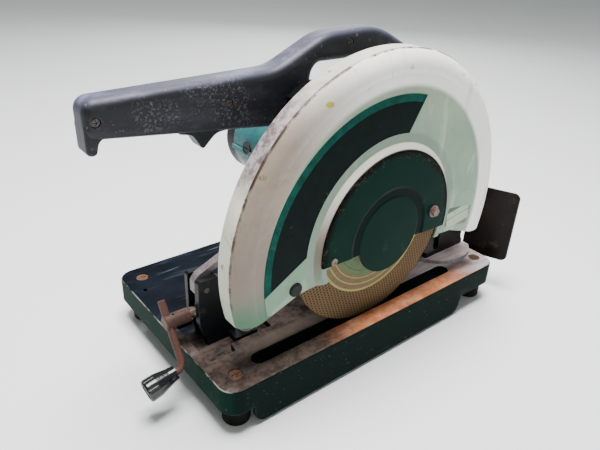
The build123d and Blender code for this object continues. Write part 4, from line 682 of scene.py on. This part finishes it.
def sticker_look():
    """Blank pale plate with a thin printed frame and one rule, stained at its edges."""
    s = Shader("rating_sticker", roughness=0.4, specular=0.3)
    local = s.stretched((1, 1, 1), shift=(-STICKER_X, 0, -STICKER_Z))
    tilt_cos, tilt_sin = math.cos(STICKER_TILT), math.sin(STICKER_TILT)
    across = s.add(s.times(s.axis(0, local), tilt_cos), s.times(s.axis(2, local), -tilt_sin))
    height = s.add(s.times(s.axis(0, local), tilt_sin), s.times(s.axis(2, local), tilt_cos))
    fine = s.noise(160, detail=5, rough=0.65)
    pale = s.mix(fine, rgb(146, 166, 140), rgb(186, 200, 176))
    half_wide, half_high = STICKER_FRAME_HALF
    blur = STICKER_FRAME_BLUR
    within_width = s.step(s.math("ABSOLUTE", across), half_wide + blur, half_wide - blur)
    within_height = s.step(s.math("ABSOLUTE", height), half_high + blur, half_high - blur)
    inside = s.times(within_width, within_height)
    color = s.mix(inside, rgb(92, 108, 88), pale)
    color = s.mix(s.times(s.band(height, *STICKER_RULE, 0.0003), inside), color, rgb(66, 76, 62))
    stains = s.step(s.noise(60, detail=6, rough=0.7), 0.56, 0.70)
    color = s.mix(s.times(stains, 0.45), color, rgb(104, 100, 76))
    return s.finish(color, s.blend(fine, 0.35, 0.55), s.bump(fine, 0.0002, 0.3))


def rating_sticker():
    """Thin blank plate on the lower rear of the guard's face."""
    outline = []
    for sign_x, sign_z, first in ((1, 1, 0), (-1, 1, 90), (-1, -1, 180), (1, -1, 270)):
        for step in range(6):
            angle = math.radians(first + 18 * step)
            along = sign_x * (STICKER_HALF[0] - STICKER_CORNER) + STICKER_CORNER * math.cos(angle)
            above = sign_z * (STICKER_HALF[1] - STICKER_CORNER) + STICKER_CORNER * math.sin(angle)
            outline.append((along, above))
    rings = []
    shoulder, face = GUARD_FACE_Y - STICKER_THICK * 0.6, GUARD_FACE_Y - STICKER_THICK
    for y, inset in ((GUARD_FACE_Y, 1.0), (shoulder, 1.0), (face, 0.993)):
        ring = []
        for along, above in outline:
            along, above = along * inset, above * inset
            ring.append((STICKER_X + along * math.cos(STICKER_TILT) - above * math.sin(STICKER_TILT), y,
                         STICKER_Z + along * math.sin(STICKER_TILT) + above * math.cos(STICKER_TILT)))
        rings.append(ring)
    vertices = [spot for ring in rings for spot in ring]
    piece_from("rating_sticker", vertices, skin_rings(rings), sticker_look(), "head", 40)


vice_thread()
rating_sticker()


# ------------------------------------------------------------------ studio
def floor():
    mesh = bpy.data.meshes.new("studio_floor")
    half = 30.0
    corners = [(-half, -half, 0), (half, -half, 0), (half, half, 0), (-half, half, 0)]
    mesh.from_pydata(corners, [], [(0, 1, 2, 3)])
    plane = bpy.data.objects.new("studio_floor", mesh)
    bpy.context.scene.collection.objects.link(plane)
    s = Shader("studio_paper", roughness=0.8, specular=0.2)
    pale = s.mix(s.noise(3, detail=2), (0.80, 0.80, 0.80, 1), (0.84, 0.84, 0.84, 1))
    mesh.materials.append(s.finish(pale))
    plane.location.z = -0.0002


def area_light(name, place, target, size, power):
    data = bpy.data.lights.new(name, "AREA")
    data.shape = "DISK"
    data.size = size
    data.energy = power
    lamp = bpy.data.objects.new(name, data)
    bpy.context.scene.collection.objects.link(lamp)
    lamp.location = place
    lamp.rotation_mode = "QUATERNION"
    lamp.rotation_quaternion = (Vector(target) - Vector(place)).to_track_quat("-Z", "Y")


def studio():
    floor()
    world = bpy.data.worlds.new("studio_world")
    bpy.context.scene.world = world
    world.use_nodes = True
    sky = world.node_tree.nodes["Background"]
    sky.inputs[0].default_value = (0.90, 1.0, 0.97, 1)
    sky.inputs[1].default_value = 0.36
    area_light("key", (-0.1, -0.02, 2.1), (0, 0, 0.15), 1.0, 125)
    area_light("fill", (-0.4, -2.0, 0.9), (0, 0, 0.2), 1.6, 6)
    area_light("back", (1.3, 1.5, 1.2), (0, 0, 0.2), 1.6, 20)


CAMERA_PLACE = (-0.4254, -0.5052, 0.4881)
CAMERA_YAW, CAMERA_PITCH, CAMERA_ROLL = math.radians(50.21), math.radians(-27.99), math.radians(-2.59)
FOCAL_WIDTHS = 0.944


def camera():
    data = bpy.data.cameras.new("camera")
    data.sensor_width = 36
    data.lens = 36 * FOCAL_WIDTHS
    eye = bpy.data.objects.new("camera", data)
    bpy.context.scene.collection.objects.link(eye)
    level = math.cos(CAMERA_PITCH)
    forward = Vector((math.cos(CAMERA_YAW) * level, math.sin(CAMERA_YAW) * level, math.sin(CAMERA_PITCH)))
    aim = forward.to_track_quat("-Z", "Y").to_matrix().to_4x4()
    eye.matrix_world = Matrix.Translation(CAMERA_PLACE) @ aim @ Matrix.Rotation(-CAMERA_ROLL, 4, "Z")
    bpy.context.scene.camera = eye


studio()
camera()
